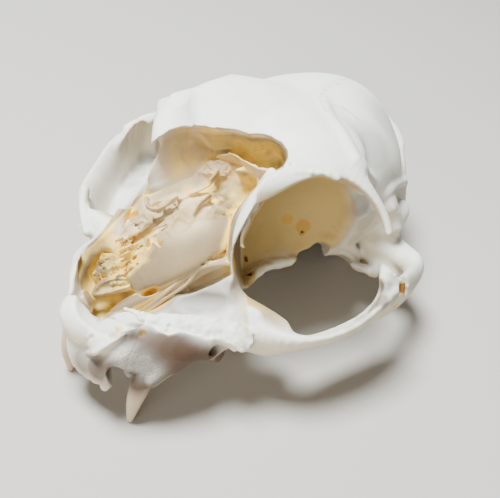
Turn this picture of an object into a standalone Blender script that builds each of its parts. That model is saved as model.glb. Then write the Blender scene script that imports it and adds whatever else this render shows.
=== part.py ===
"""A cat's skull without its lower jaw, life size, with the nose and the front of the forehead broken open.

The skull is shaped whole from ellipsoids and lofted limbs of bone, which a voxel remesh runs together.
The orbits, nose, sinus, palate and foramen magnum are then carved out, and thin plane cuts part it into
its bones. Points are in millimetres in the skull's own frame: x to its left, y back from the front of the
incisive bones, z up from the palate. The last step tips that frame a little, so the skull rests on its
canines and bullae.
"""

import math

import bmesh
import bpy
from mathutils import Matrix, Vector

MM = 0.001

# Driving dimensions
BRAIN_CENTRE = (0, 57.1, 13.0)
BRAIN_RADII = (19.9, 22.2, 16.8)
CROWN_CENTRE = (0, 62.2, 15.4)
CROWN_RADII = (14.2, 18.4, 13.8)
ARCH_HALF_WIDTH = 31.2
ORBIT_RIM = (20.0, 32.6, 16.6)
ORBIT_RADIUS = 12.9
ORBIT_DEPTH_RADIUS = 15.3
ORBIT_SET_BACK = 2.5
ORBIT_FACING = (0.62, -0.53, 0.48)
ORBIT_UP = (-0.24, 0.48, 0.84)
ORBIT_WALL = 1.1
BROW_TIP = (26.3, 44.0, 19.0)
CHEEK_TIPS = {1: (27.9, 45.4, 14.6), -1: (-28.9, 46.8, 15.6)}
CANINE_TIPS = {1: (8.25, 4.2, -11.2), -1: (-6.8, 4.8, -11.2)}
CANINE_TIP_Y = 4.5
CANINE_DROP = 11.6
CANINE_ROOT_X = 8.7
PEG_TIP = (4.9, 1.3, -3.4)
INCISOR_BUMPS = (0.9, 2.6, 4.3)
BULLA_CENTRE = (11.8, 65.6, -2.2)
BULLA_RADII = (5.9, 9.2, 6.2)
BULLA_TURN = 12
BASE_LEVEL = -2.0
REST_FLAT = 0.15
REST_MIDDLE_Y = 41.35
BONE_GAP = 0.3
SOCKET_CLEARANCE = 0.3
ETHMOID_CLEARANCE = 0.7

# Angles at which the rings of a limb's rounded ends stand
CAP_ANGLES = (80, 50, 25)
# Half the side of the block that plane cuts are made from, and how far back its middle lies
BLOCK_HALF = 90.0
BLOCK_MIDDLE_Y = 40

# Fineness of the solids
BODY_VOXEL = 0.7
FINE_VOXEL = 0.45
BODY_FACES = 4000
ETHMOID_FACES = 750
RING_SIDES = 16
SPAN_STEPS = 4
TOOTH_SIDES = 10
TOOTH_STEPS = 2
BULLA_SEGMENTS = 18

BONE_COLOUR = (0.83, 0.78, 0.69)
BASE_COLOUR = (0.72, 0.60, 0.50)
ETHMOID_COLOUR = (0.84, 0.70, 0.48)
TOOTH_COLOUR = (0.82, 0.75, 0.70)


def clear_scene():
    for old in list(bpy.data.objects):
        bpy.data.objects.remove(old, do_unlink=True)


def link_mesh(name, bm):
    mesh = bpy.data.meshes.new(name)
    bm.normal_update()
    bm.to_mesh(mesh)
    bm.free()
    obj = bpy.data.objects.new(name, mesh)
    bpy.context.scene.collection.objects.link(obj)
    return obj


def ellipsoid(centre, radii, turn=(0, 0, 0), axes=None, segments=32):
    """A sphere stretched to radii, turned by Euler degrees or onto the given axes, and moved to centre."""
    bm = bmesh.new()
    bmesh.ops.create_uvsphere(bm, u_segments=segments, v_segments=segments * 5 // 8, radius=1.0)
    if axes is None:
        pitch, _, heading = (math.radians(angle) for angle in turn)
        axes = Matrix.Rotation(heading, 3, "Z") @ Matrix.Rotation(pitch, 3, "X")
    stretch = Matrix.Diagonal(Vector(radii) * MM)
    place = Matrix.Translation(Vector(centre) * MM) @ (axes @ stretch).to_4x4()
    bmesh.ops.transform(bm, matrix=place, verts=bm.verts)
    return link_mesh("ellipsoid", bm)


def curve_through(rows, steps=SPAN_STEPS):
    """Catmull-Rom rows between the given rows, which may hold widths after their x, y and z."""
    before = [2 * a - b for a, b in zip(rows[0], rows[1])]
    after = [2 * a - b for a, b in zip(rows[-1], rows[-2])]
    ends = [before, *rows, after]
    out = []
    for a, b, c, d in zip(ends, ends[1:], ends[2:], ends[3:]):
        for k in range(steps):
            t = k / steps
            out.append([0.5 * (2 * q + (r - p) * t + (2 * p - 5 * q + 4 * r - s) * t * t
                               + (3 * q - p - 3 * r + s) * t ** 3) for p, q, r, s in zip(a, b, c, d)])
    out.append(list(rows[-1]))
    return out


def limb(stations, broad, grow=0.0, ring_sides=RING_SIDES, steps=SPAN_STEPS):
    """A loft of elliptic rings with rounded ends.

    Each station is x, y, z, half breadth along broad, half thickness across it. broad is one direction,
    or one for each station.
    """
    rows = curve_through(stations, steps)
    sides = [broad] * len(stations) if not hasattr(broad[0], "__len__") else broad
    sides = curve_through([list(side) for side in sides], steps)
    bm = bmesh.new()
    rings = []

    def ring(middle, side, across, breadth, thickness):
        verts = []
        for k in range(ring_sides):
            t = 2 * math.pi * k / ring_sides
            point = middle + side * breadth * math.cos(t) + across * thickness * math.sin(t)
            verts.append(bm.verts.new(point * MM))
        rings.append(verts)

    last = len(rows) - 1
    for i, row in enumerate(rows):
        along = Vector(rows[min(i + 1, last)][:3]) - Vector(rows[max(i - 1, 0)][:3])
        along.normalize()
        side = Vector(sides[i]) - along * along.dot(Vector(sides[i]))
        side.normalize()
        across = along.cross(side)
        middle = Vector(row[:3])
        breadth, thickness = row[3] + grow, row[4] + grow
        bulge = min(breadth, thickness)
        caps = [math.radians(angle) for angle in CAP_ANGLES]
        if i == 0:
            for cap in caps:
                ring(middle - along * bulge * math.sin(cap), side, across,
                     breadth * math.cos(cap), thickness * math.cos(cap))
        ring(middle, side, across, breadth, thickness)
        if i == last:
            for cap in reversed(caps):
                ring(middle + along * bulge * math.sin(cap), side, across,
                     breadth * math.cos(cap), thickness * math.cos(cap))
    for low, high in zip(rings, rings[1:]):
        for k in range(ring_sides):
            j = (k + 1) % ring_sides
            bm.faces.new((low[k], low[j], high[j], high[k]))
    bm.faces.new(rings[0])
    bm.faces.new(reversed(rings[-1]))
    bmesh.ops.recalc_face_normals(bm, faces=bm.faces)
    return link_mesh("limb", bm)


def cell(planes):
    """A convex block: a large cube cut by planes, each a point and the normal that points out of it."""
    bm = bmesh.new()
    bmesh.ops.create_cube(bm, size=2 * BLOCK_HALF * MM)
    bmesh.ops.translate(bm, vec=Vector((0, BLOCK_MIDDLE_Y * MM, 0)), verts=bm.verts)
    for point, normal in planes:
        cut = bmesh.ops.bisect_plane(bm, geom=bm.verts[:] + bm.edges[:] + bm.faces[:],
                                     plane_co=Vector(point) * MM, plane_no=Vector(normal), clear_outer=True)
        edges = [e for e in cut["geom_cut"] if isinstance(e, bmesh.types.BMEdge)]
        bmesh.ops.edgeloop_fill(bm, edges=edges)
    bmesh.ops.recalc_face_normals(bm, faces=bm.faces)
    return link_mesh("cell", bm)


def grown(planes, gap=BONE_GAP):
    """The same planes, each moved out along its normal."""
    return [(Vector(point) + Vector(normal).normalized() * gap, normal) for point, normal in planes]


def mirrored_planes(planes, side):
    return [((side * p[0], p[1], p[2]), (side * n[0], n[1], n[2])) for p, n in planes]


def mirrored(obj):
    twin = bpy.data.objects.new(obj.name, obj.data.copy())
    twin.data.transform(Matrix.Diagonal((-1, 1, 1, 1)))
    twin.data.flip_normals()
    bpy.context.scene.collection.objects.link(twin)
    return twin


def pair(obj):
    return [obj, mirrored(obj)]


def settle(obj):
    """Replaces the mesh by what its modifiers make of it."""
    graph = bpy.context.evaluated_depsgraph_get()
    graph.update()
    mesh = bpy.data.meshes.new_from_object(obj.evaluated_get(graph), depsgraph=graph)
    obj.modifiers.clear()
    obj.data = mesh
    return obj


def fuse(name, objects, voxel, rounds):
    """Runs the objects together into one skin and smooths it."""
    bm = bmesh.new()
    for obj in objects:
        bm.from_mesh(obj.data)
        bpy.data.objects.remove(obj, do_unlink=True)
    whole = link_mesh(name, bm)
    remesh = whole.modifiers.new("skin", "REMESH")
    remesh.mode = "VOXEL"
    remesh.voxel_size = voxel * MM
    remesh.adaptivity = 0.0
    if rounds:
        smooth = whole.modifiers.new("smooth", "SMOOTH")
        smooth.factor = 0.5
        smooth.iterations = rounds
    return settle(whole)


def combine(obj, tool, operation):
    boolean = obj.modifiers.new("cut", "BOOLEAN")
    boolean.operation = operation
    boolean.solver = "EXACT"
    boolean.object = tool
    settle(obj)
    bpy.data.objects.remove(tool, do_unlink=True)
    return obj


def carve(obj, *tools):
    for tool in tools:
        combine(obj, tool, "DIFFERENCE")
    return obj


def thin_out(obj, faces):
    """Brings the object down to about that many triangles."""
    triangles = sum(len(p.vertices) - 2 for p in obj.data.polygons)
    if triangles > faces:
        decimate = obj.modifiers.new("thin", "DECIMATE")
        decimate.ratio = faces / triangles
        settle(obj)
    return obj


def largest_piece(obj):
    """Drops loose crumbs, keeping the piece with the most corners."""
    bm = bmesh.new()
    bm.from_mesh(obj.data)
    unseen = set(bm.verts)
    pieces = []
    while unseen:
        start = unseen.pop()
        piece = {start}
        front = [start]
        while front:
            for edge in front.pop().link_edges:
                for vert in edge.verts:
                    if vert not in piece:
                        piece.add(vert)
                        front.append(vert)
        unseen -= piece
        pieces.append(piece)
    best = max(pieces, key=len)
    bmesh.ops.delete(bm, geom=[v for v in bm.verts if v not in best], context="VERTS")
    bm.to_mesh(obj.data)
    bm.free()
    return obj


def orbit(grow=0.0):
    out = Vector(ORBIT_FACING).normalized()
    up = Vector(ORBIT_UP)
    up = (up - out * out.dot(up)).normalized()
    axes = Matrix((up.cross(out), up, out)).transposed()
    centre = Vector(ORBIT_RIM) - out * ORBIT_SET_BACK
    across = ORBIT_RADIUS + grow
    return ellipsoid(centre, (across, across, ORBIT_DEPTH_RADIUS + grow), axes=axes)


def braincase_and_nose():
    """Outer form of the braincase, forehead, muzzle and brow processes, before any opening is cut."""
    brow = [(8, 41, 25.6, 8, 4), (14, 40.5, 25.8, 7, 3), (18, 41, 25.2, 5, 2.4),
            (21.5, 42.3, 23.2, 3.4, 1.8), (24.4, 43.6, 20.8, 2.3, 1.3), (*BROW_TIP, 1.3, 0.9)]
    brow_front = [(7, 27, 26, 4, 3), (10, 29.8, 27, 3.4, 3), (12.1, 33.4, 27.2, 3.2, 2.7),
                  (14.8, 38.4, 26.4, 3.4, 2.5)]
    canine_root = [(8.2, 7.8, -1, 2.5, 2.8), (8.2, 8.6, 3, 2.5, 2.7), (8.3, 10.7, 8, 2.5, 2.5),
                   (8.6, 14, 13, 2, 2)]
    lumps = [
        ellipsoid(BRAIN_CENTRE, BRAIN_RADII),
        ellipsoid(CROWN_CENTRE, CROWN_RADII),
        ellipsoid((0, 43, 17), (14.7, 15, 13)),
        ellipsoid((0, 38, 8), (9, 15, 9.5)),
        ellipsoid((0, 29, 19), (11.7, 10.5, 11)),
        ellipsoid((0, 21, 8), (12.2, 14, 12), turn=(12, 0, 0)),
        *pair(ellipsoid((7.5, 43.5, 25.3), (11.2, 11.5, 5.9))),
        *pair(ellipsoid((3.4, 5.4, 3.6), (5.8, 4.6, 4.6))),
        *pair(ellipsoid((9, 17, 3.5), (7.2, 10.8, 6.2))),
        *pair(limb(brow, (0.15, 1, 0.1))),
        *pair(limb(brow_front, (1, -0.6, 0))),
        *pair(limb(canine_root, (1, 0, 0))),
    ]
    return fuse("skull", lumps, BODY_VOXEL, 4)


def arches_and_base():
    """Cheek arches, bullae, condyles, crests and processes, which stand clear of the orbits."""
    w = ARCH_HALF_WIDTH
    arch = [(13, 22, 3.7, 4.9, 4), (17.5, 22, 3.8, 4.2, 2.6), (21, 22.6, 3.6, 3.6, 1.9),
            (24.6, 26, 3.9, 3.4, 1.5), (w - 3.1, 33.5, 4.6, 3.9, 1.4), (w - 1, 40.7, 6.1, 4.9, 1.4),
            (w - 0.6, 47, 5.8, 3.8, 1.4), (w - 0.8, 52.6, 5.4, 2.9, 1.5), (w - 2.5, 57.6, 5, 2.6, 2),
            (24.2, 60.3, 3.7, 2.6, 2.8), (19, 60.5, 4, 3.6, 3.6)]
    lean = [(0, 0, 1), (0, -0.1, 1), (0.1, -0.2, 1), (0.14, -0.5, 0.86), (0.18, -0.42, 0.89),
            (0.05, -0.42, 0.9), (-0.1, -0.2, 0.97), (-0.1, 0, 1), (0, 0, 1), (0, 0, 1), (0, 0, 1)]
    arch_foot = [(18.5, 26, 2, 2.2, 2.6), (23.4, 33, 2.4, 1.9, 2.5), (26.4, 40, 3, 1.8, 2.3),
                 (28.8, 46, 4, 1.5, 1.6)]
    crest = [(0, 79.6, 18.5, 1.9, 1.1), (8, 78.6, 16.5, 1.9, 1.1), (14.5, 75.8, 11, 1.8, 1.1),
             (18.3, 71.5, 5, 1.7, 1.2), (18.8, 68, 1, 1.7, 1.5)]
    jugular = [(14.5, 73.5, 2, 4, 2.5), (14.5, 73.5, -3, 2.8, 1.6), (14, 72.8, -6.6, 1.2, 1)]
    shapes = [
        limb(arch, lean),
        limb(arch_foot, (0, 0, 1)),
        limb(crest, (0, 1, 0.8)),
        limb(jugular, (1, 0, 0)),
        ellipsoid((23, 59.5, 1), (5.5, 2.8, 1.8)),
        ellipsoid((20, 60.5, -1), (4.2, 1.4, 2.0)),
        ellipsoid((19.0, 63, 8), (3.1, 7, 3)),
        ellipsoid((6.5, 71, 6.5), (11, 7.5, 11)),
        ellipsoid((7, 78, 0), (3.4, 4.3, 4.8), turn=(0, 0, -25)),
        ellipsoid((13.6, 17.9, -1.2), (1.6, 2.2, 1.8)),
    ]
    shapes += [ellipsoid((x, 2.4 + 0.06 * x * x, -0.9), (1.1, 1.3, 1.5)) for x in INCISOR_BUMPS]
    peg = limb([(4.9, 3, 1.5, 1.5, 1.4), (4.95, 2, -1, 1.3, 1.2), (*PEG_TIP, 0.8, 0.7)], (1, 0, 0))
    cheeks = [limb([(side * (w - 1), 41.5, 8, 4, 1.6), (side * (w - 1.6), 43.8, 12, 3.2, 1.5),
                    (*tip, 2.0, 1.2)], (0, 1, 0.2)) for side, tip in CHEEK_TIPS.items()]
    right_rim = limb([(-23, 42.4, 22.2, 1.8, 1.0), (-18.7, 36.9, 25, 2.2, 1.2),
                      (-15.8, 33.3, 26.3, 2.3, 1.2), (-13.3, 30.2, 27, 2.2, 1.2),
                      (-9.8, 25.9, 26.9, 1.4, 1.1)], (1, 0.1, 0.5))
    tooth_row = limb([(-4.4, 3.2, -1.6, 1.7, 1.2), (-2.8, 2.3, -2.4, 1.8, 1.2), (-1, 2.0, -2.7, 1.8, 1.2),
                      (1, 2.0, -2.7, 1.8, 1.2), (2.8, 2.2, -2.5, 1.8, 1.2), (4.4, 2.8, -1.8, 1.7, 1.2)],
                     (0, 0.2, 1))
    return [peg, right_rim, tooth_row, *cheeks, *(obj for shape in shapes for obj in pair(shape))]


def nose_hollow(shrink=0.0):
    """The space of the nose and the forehead sinus, out through the broken face. shrink leaves a margin."""
    s = shrink
    break_plane = ((0, 10, 9.8), (0.28, -0.2, -1))
    front = [break_plane, ((0, 22.5, 0), (0, 1, 0)), ((-9.8, 0, 0), (-1, 0, 0)), ((0, 0, 40), (0, 0, 1)),
             ((24, 0, 0), (1, 0, 0)), ((0, -8, 0), (0, -1, 0))]
    roof = ellipsoid((2, 26, 24), (11.8 - s, 12 - s, 13 - s))
    combine(roof, cell([((10.4 - s, 0, 20), (1, 0, -0.1))]), "INTERSECT")
    parts = [
        ellipsoid((0, 11, 10), (7.3 - s, 11 - s, 6.4 - s)),
        ellipsoid((0, 24, 14.5), (10.2 - s, 14 - s, 10.8 - s)),
        ellipsoid((0.5, 36.5, 25.1), (9.5 - s, 7 - s, 3.3 - s)),
        cell(grown(front, -s)),
        roof,
    ]
    hollow = fuse("hollow", parts, BODY_VOXEL, 1)
    return carve(hollow, *pair(orbit(ORBIT_WALL + s)))


def whole_skull():
    skull = braincase_and_nose()
    carve(skull, *pair(orbit()), cell([((0, 0, BASE_LEVEL), (0, 0, 1)), ((0, 44, 0), (0, -1, 0.4))]))
    skull = fuse("skull", [skull, *arches_and_base()], BODY_VOXEL, 3)
    carve(skull,
          ellipsoid((0, 79, 3.8), (6.3, 10, 5.2)),
          ellipsoid((0, 20, -3.5), (9.0, 15, 4)),
          ellipsoid((0, 41, -3), (4.6, 12, 5.5)),
          nose_hollow())
    skull = fuse("skull", [skull], BODY_VOXEL, 2)
    return thin_out(largest_piece(skull), BODY_FACES)


def canine(side, grow=0.0):
    x, y, z = CANINE_TIPS[side]
    root_x = CANINE_ROOT_X * side
    bend = x - root_x
    stations = [(root_x, 8.2, 2.6, 2.0, 1.8), (root_x, 6.4, -1.2, 2.1, 1.8),
                (root_x + 0.45 * bend, 4.8, -6, 1.55, 1.35), (x, y, z, 0.6, 0.55)]
    return limb(stations, (0, 1, 0.3), grow, TOOTH_SIDES, TOOTH_STEPS)


def bulla(side, grow=0.0):
    x, y, z = BULLA_CENTRE
    radii = [radius + grow for radius in BULLA_RADII]
    return ellipsoid((side * x, y, z), radii, turn=(0, 0, side * BULLA_TURN), segments=BULLA_SEGMENTS)


def ethmoid():
    """Scrolls of thin bone in the open nose, run together into one piece."""
    scrolls = [
        ([(0.5, 12, 6.5, 2.5, 1.2), (2.5, 16, 10, 4, 1.6), (4.5, 21, 13, 5, 2), (6.5, 27, 17, 4, 2)],
         (0.6, -0.45, -0.6)),
        ([(-6, 9.5, 6, 1.5, 1), (-5.5, 13, 9.5, 3, 1.2), (-5, 18, 13, 3.5, 1.4), (-4, 24, 17, 3.5, 1.8)],
         (1, 0.2, -0.2)),
        ([(-7, 13, 9, 2, 0.8), (-7, 19, 14, 2.5, 0.8), (-6.5, 26, 18.5, 3, 1)], (0, -0.7, 0.7)),
        ([(-2.5, 12, 7.5, 2, 0.7), (-1.5, 18, 12.5, 3, 0.8), (-0.5, 26, 18, 4, 1), (0, 32, 21, 4, 2)],
         (0, -0.6, 0.75)),
        ([(4, 10.5, 4.5, 1.2, 0.9), (6.5, 15, 7.5, 1.4, 1), (8, 20, 10.5, 1.6, 1.2), (7.5, 26, 13.5, 3, 2)],
         (0.7, 0, 0.7)),
    ]
    shapes = [limb(stations, broad) for stations, broad in scrolls]
    core = [ellipsoid((0, 29, 16), (7.5, 7.5, 7.5)),
            ellipsoid((0, 21, 9.5), (6.5, 10, 5.5), turn=(25, 0, 0)),
            limb([(0, 8, 4, 1.5, 0.8), (0, 16, 5, 2, 1), (0, 24, 8, 3, 2)], (0, 0, 1))]
    whole = fuse("ethmoid", shapes + core, FINE_VOXEL, 2)
    combine(whole, nose_hollow(ETHMOID_CLEARANCE), "INTERSECT")
    whole = fuse("ethmoid", [largest_piece(whole)], FINE_VOXEL, 1)
    return thin_out(largest_piece(whole), ETHMOID_FACES)


# Plane cuts between the bones, for the left side: points on the cut and normals out of the bone
MIDLINE = ((BONE_GAP / 2, 0, 0), (-1, 0, 0))
JUGAL = [((19.8, 22.5, 3), (-0.9, -0.4, 0)), ((31, 49.5, 4), (0, 0.8, 0.6)), ((17.5, 0, 0), (-1, 0, 0)),
         ((0, 0, 17), (0, 0, 1))]
TEMPORAL = [((12.8, 0, 0), (-1, 0, 0)), ((20, 60, 14), (0.3, 0.1, 1)), ((17, 47.5, 5), (0.1, -1, 0.1)),
            ((0, 72.5, 6), (0, 1, 0.15))]
OCCIPITAL = [((0, 75.2, 16), (0, -1, 0.28))]
PARIETAL = [MIDLINE, ((0, 55.5, 30), (-0.3, -1, 0.05)), ((0, 60, 7.5), (0, 0, -1))]
INCISIVE = [((0, 6.4, 0), (0, 1, -0.35)), ((0, 0, 14), (0, 0, 1)), ((6.9, 5, 0), (1, 0.25, 0)),
            ((-6.9, 5, 0), (-1, 0.25, 0))]
MAXILLA = [MIDLINE, ((11, 25, 17), (0, 0.55, 0.83)), ((0, 38, 0), (0, 1, 0))]
FRONTAL = [MIDLINE, ((0, 40, 10.5), (0, 0.08, -1))]
PALATINE = [((0, 44.5, 3), (0, 1, 0.3)), ((0, 26, 0), (0, -1, -0.1)), ((8.8, 0, 0), (1, 0, 0.15)),
            ((-8.8, 0, 0), (-1, 0, 0.15)), ((0, 40, 10.5), (0, -0.08, 1))]


def part_off(rest, name, planes):
    """Takes the bone inside the planes out of rest, leaving a thin gap between them."""
    bone = bpy.data.objects.new(name, rest.data.copy())
    bpy.context.scene.collection.objects.link(bone)
    combine(bone, cell(planes), "INTERSECT")
    combine(rest, cell(grown(planes)), "DIFFERENCE")
    return largest_piece(bone)


def bones_of(skull):
    bones = [part_off(skull, "incisive", INCISIVE)]
    cuts = {"jugal": JUGAL, "occipital": OCCIPITAL, "temporal": TEMPORAL, "parietal": PARIETAL,
            "palatine": PALATINE, "maxilla": MAXILLA, "frontal": FRONTAL}
    for name, planes in cuts.items():
        if name in ("occipital", "palatine"):
            bones.append(part_off(skull, name, planes))
            continue
        for side, label in ((1, "left"), (-1, "right")):
            bones.append(part_off(skull, name + "_" + label, mirrored_planes(planes, side)))
    skull.name = "sphenoid"
    bones.append(largest_piece(skull))
    return bones


def rest_matrix():
    """Stands the skull's frame on canine tips and bullae at z = 0, with its middle over the origin."""
    drop = CANINE_DROP - (BULLA_RADII[2] - BULLA_CENTRE[2])
    run = BULLA_CENTRE[1] - CANINE_TIP_Y
    tilt = math.atan2(drop, run)
    turn = Matrix.Rotation(-tilt, 4, "X")
    low = min((turn @ (Vector((0, CANINE_TIP_Y, -CANINE_DROP)) * MM)).z,
              (turn @ (Vector((0, BULLA_CENTRE[1], BULLA_CENTRE[2] - BULLA_RADII[2])) * MM)).z)
    return Matrix.Translation((0, -REST_MIDDLE_Y * MM, -low - REST_FLAT * MM)) @ turn


def finish(bones, parts):
    colours = {"ethmoid": ETHMOID_COLOUR, "sphenoid": BASE_COLOUR, "palatine": BASE_COLOUR}
    place = rest_matrix()
    for bone in bones:
        bone.data.transform(place)
        if bone.name.startswith(("canine", "bulla")):
            combine(bone, cell([((0, 0, 0), (0, 0, 1))]), "DIFFERENCE")
        tooth = bone.name.startswith("canine")
        material = bpy.data.materials.new(bone.name)
        material.use_nodes = True
        shader = material.node_tree.nodes["Principled BSDF"]
        colour = TOOTH_COLOUR if tooth else colours.get(bone.name, BONE_COLOUR)
        shader.inputs["Base Color"].default_value = (*colour, 1.0)
        shader.inputs["Roughness"].default_value = 0.3 if tooth else 0.6
        shader.inputs["Metallic"].default_value = 0.0
        bone.data.materials.clear()
        bone.data.materials.append(material)
        bone.data.name = bone.name
        bpy.context.scene.collection.objects.unlink(bone)
        parts.objects.link(bone)


def main():
    clear_scene()
    parts = bpy.data.collections.new("cat_skull")
    bpy.context.scene.collection.children.link(parts)
    skull = whole_skull()
    seated = []
    for side, label in ((1, "left"), (-1, "right")):
        for shape in (canine, bulla):
            piece = shape(side)
            piece.name = shape.__name__ + "_" + label
            seated.append(piece)
            carve(skull, shape(side, SOCKET_CLEARANCE))
    finish([*bones_of(skull), ethmoid(), *seated], parts)


main()
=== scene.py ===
import math
import bpy
import numpy as np
from mathutils import Matrix, Vector


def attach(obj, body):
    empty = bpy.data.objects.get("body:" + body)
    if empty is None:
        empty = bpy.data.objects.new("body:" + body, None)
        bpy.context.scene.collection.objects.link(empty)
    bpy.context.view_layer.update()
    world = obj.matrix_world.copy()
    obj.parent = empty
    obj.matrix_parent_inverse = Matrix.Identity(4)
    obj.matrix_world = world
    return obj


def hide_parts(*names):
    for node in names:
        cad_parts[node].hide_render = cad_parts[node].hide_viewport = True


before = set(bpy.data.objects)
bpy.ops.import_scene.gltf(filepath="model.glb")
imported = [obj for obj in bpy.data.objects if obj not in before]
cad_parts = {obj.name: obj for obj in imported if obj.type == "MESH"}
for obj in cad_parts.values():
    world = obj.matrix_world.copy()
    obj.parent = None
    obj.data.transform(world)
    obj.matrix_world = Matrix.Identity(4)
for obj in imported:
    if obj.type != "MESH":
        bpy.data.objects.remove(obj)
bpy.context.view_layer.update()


# How the skull lies. A skull without its lower jaw stands on the tips of its canines and on its two bullae.
# Its own frame is in millimetres, with x to its left, y back from the front teeth and z up from the palate.
# At rest that frame is tipped 3 degrees, and its middle is over the origin, in metres.
CANINE_TIP_Y = 4.5
CANINE_DROP = 11.6
BULLA_CENTRE = (11.8, 65.6, -2.2)
BULLA_RADII = (5.9, 9.2, 6.2)
REST_MIDDLE_Y = 41.35
REST_FLAT = 0.15

bulla_drop = BULLA_RADII[2] - BULLA_CENTRE[2]
tip = math.atan2(CANINE_DROP - bulla_drop, BULLA_CENTRE[1] - CANINE_TIP_Y)
rest_turn = Matrix.Rotation(-tip, 3, "X")
rest_low = min((rest_turn @ Vector((0, CANINE_TIP_Y, -CANINE_DROP))).z,
    (rest_turn @ Vector((0, BULLA_CENTRE[1], -bulla_drop))).z)
rest_shift = Vector((0, -REST_MIDDLE_Y, -rest_low - REST_FLAT))


def at_rest(points):
    """Points of the skull's frame in millimetres, as metres in the frame that it lies in."""
    return (np.asarray(points, float) @ np.array(rest_turn).T + np.array(rest_shift)) * 0.001


# The camera. The photograph was taken from in front of the skull, to its left and well above it, from about
# 14 cm, with the head a little tipped over in the frame.
AZIMUTH = math.radians(30.9)
ELEVATION = math.radians(38.9)
ROLL = math.radians(11.4)
DISTANCE = 140.0
FOCAL = 763.0
AIM = Vector((4.96, 37.026, 5.68))
PHOTO = (500, 498)
SENSOR = 36.0

back = Vector((math.sin(AZIMUTH) * math.cos(ELEVATION), -math.cos(AZIMUTH) * math.cos(ELEVATION),
    math.sin(ELEVATION)))
level = Vector((math.cos(AZIMUTH), math.sin(AZIMUTH), 0))
above = back.cross(level)
right = level * math.cos(ROLL) + above * math.sin(ROLL)
above = above * math.cos(ROLL) - level * math.sin(ROLL)
eye = AIM + back * DISTANCE
camera_data = bpy.data.cameras.new("camera")
camera_data.lens = FOCAL / PHOTO[0] * SENSOR
camera_data.sensor_width = SENSOR
camera_data.clip_start = 0.01
camera = bpy.data.objects.new("camera", camera_data)
bpy.context.scene.collection.objects.link(camera)
axes = rest_turn @ Matrix((right, above, back)).transposed()
camera.matrix_world = Matrix.Translation(Vector(at_rest(eye))) @ axes.to_4x4()
bpy.context.scene.camera = camera


# The form that all the bones share. A skull grows as one shell of bone and its sutures come after, so its
# form is laid up whole, from balls and limbs of bone that run together, before it is parted into bones. A
# shape gives the distance to its surface in millimetres, less than nothing inside.
F32 = np.float32
FAR = 9.0


def run_together(a, b, blend):
    mix = np.clip(0.5 + 0.5 * (b - a) / F32(blend), 0, 1)
    return b + (a - b) * mix - F32(blend) * mix * (1 - mix)


def keep_both(a, b, blend):
    return -run_together(-a, -b, blend)


def squashed(q, a, b, c):
    """Distance to an ellipsoid with half axes a, b and c."""
    x, y, z = q[..., 0] / a, q[..., 1] / b, q[..., 2] / c
    near = np.sqrt(x * x + y * y + z * z)
    x, y, z = x / a, y / b, z / c
    return near * (near - 1) / np.sqrt(x * x + y * y + z * z + F32(1e-9))


class Ball:
    """An ellipsoid. axes holds its own axes as columns."""

    def __init__(self, centre, radii, turn=(0, 0, 0), axes=None):
        self.centre = np.array(centre, F32)
        self.radii = np.array(radii, F32)
        spin = Matrix.Rotation(math.radians(turn[2]), 3, "Z")
        lean = Matrix.Rotation(math.radians(turn[0]), 3, "X")
        self.axes = np.array(spin @ lean if axes is None else axes, F32)
        self.low = self.centre - max(radii)
        self.high = self.centre + max(radii)

    def __call__(self, p):
        return squashed((p - self.centre) @ self.axes, *self.radii)


def curve_through(rows, steps):
    rows = np.asarray(rows, float)
    ends = np.vstack([2 * rows[0] - rows[1], rows, 2 * rows[-1] - rows[-2]])
    out = []
    for p, q, r, s in zip(ends, ends[1:], ends[2:], ends[3:]):
        for t in np.arange(steps) / steps:
            square = (2 * p - 5 * q + 4 * r - s) * t ** 2
            cube = (3 * q - p - 3 * r + s) * t ** 3
            out.append(0.5 * (2 * q + (r - p) * t + square + cube))
    return np.array(out + [rows[-1]])


class Limb:
    """A bent bar. Each station is x, y, z, half breadth along broad, half thickness across it."""

    def __init__(self, stations, broad=(0, 0, 1), steps=4):
        rows = curve_through(stations, steps).astype(F32)
        broad = np.asarray(broad, float)
        broad = curve_through(np.tile(broad, (len(stations), 1)) if broad.ndim == 1 else broad, steps)
        reach = rows[:, 3:5].max(1)[:, None]
        self.low = (rows[:, :3] - reach).min(0)
        self.high = (rows[:, :3] + reach).max(0)
        self.spans = []
        for a, b, side, next_side in zip(rows, rows[1:], broad, broad[1:]):
            step = b[:3] - a[:3]
            length = F32(np.linalg.norm(step))
            along = step / length
            wide = side + next_side
            wide = wide - along * (wide @ along)
            wide = wide / np.linalg.norm(wide)
            turned = np.stack([wide, np.cross(along, wide), along], 1).astype(F32)
            reach = max(*a[3:5], *b[3:5])
            low = np.minimum(a[:3], b[:3]) - reach
            high = np.maximum(a[:3], b[:3]) + reach
            self.spans.append((a, b, turned, length, low, high))

    def __call__(self, p):
        flat = p.reshape(-1, 3)
        first, last = flat.min(0) - 4, flat.max(0) + 4
        near = np.full(p.shape[:-1], FAR, F32)
        for a, b, turned, length, low, high in self.spans:
            if (low > last).any() or (high < first).any():
                continue
            q = (p - a[:3]) @ turned
            t = np.clip(q[..., 2] / length, 0, 1)
            q[..., 2] -= t * length
            breadth = a[3] + (b[3] - a[3]) * t
            depth = a[4] + (b[4] - a[4]) * t
            near = np.minimum(near, squashed(q, breadth, depth, np.minimum(breadth, depth)))
        return near


class Slab:
    """All that lies behind a plane, whose normal points out of it."""

    low = np.full(3, -1e9)
    high = np.full(3, 1e9)

    def __init__(self, point, normal):
        self.normal = (np.array(normal, float) / np.linalg.norm(normal)).astype(F32)
        self.level = float(self.normal @ np.array(point, F32))

    def __call__(self, p):
        return p @ self.normal - self.level


LATTICE = np.random.default_rng(5).uniform(-1, 1, (32, 32, 32)).astype(F32)


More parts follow.
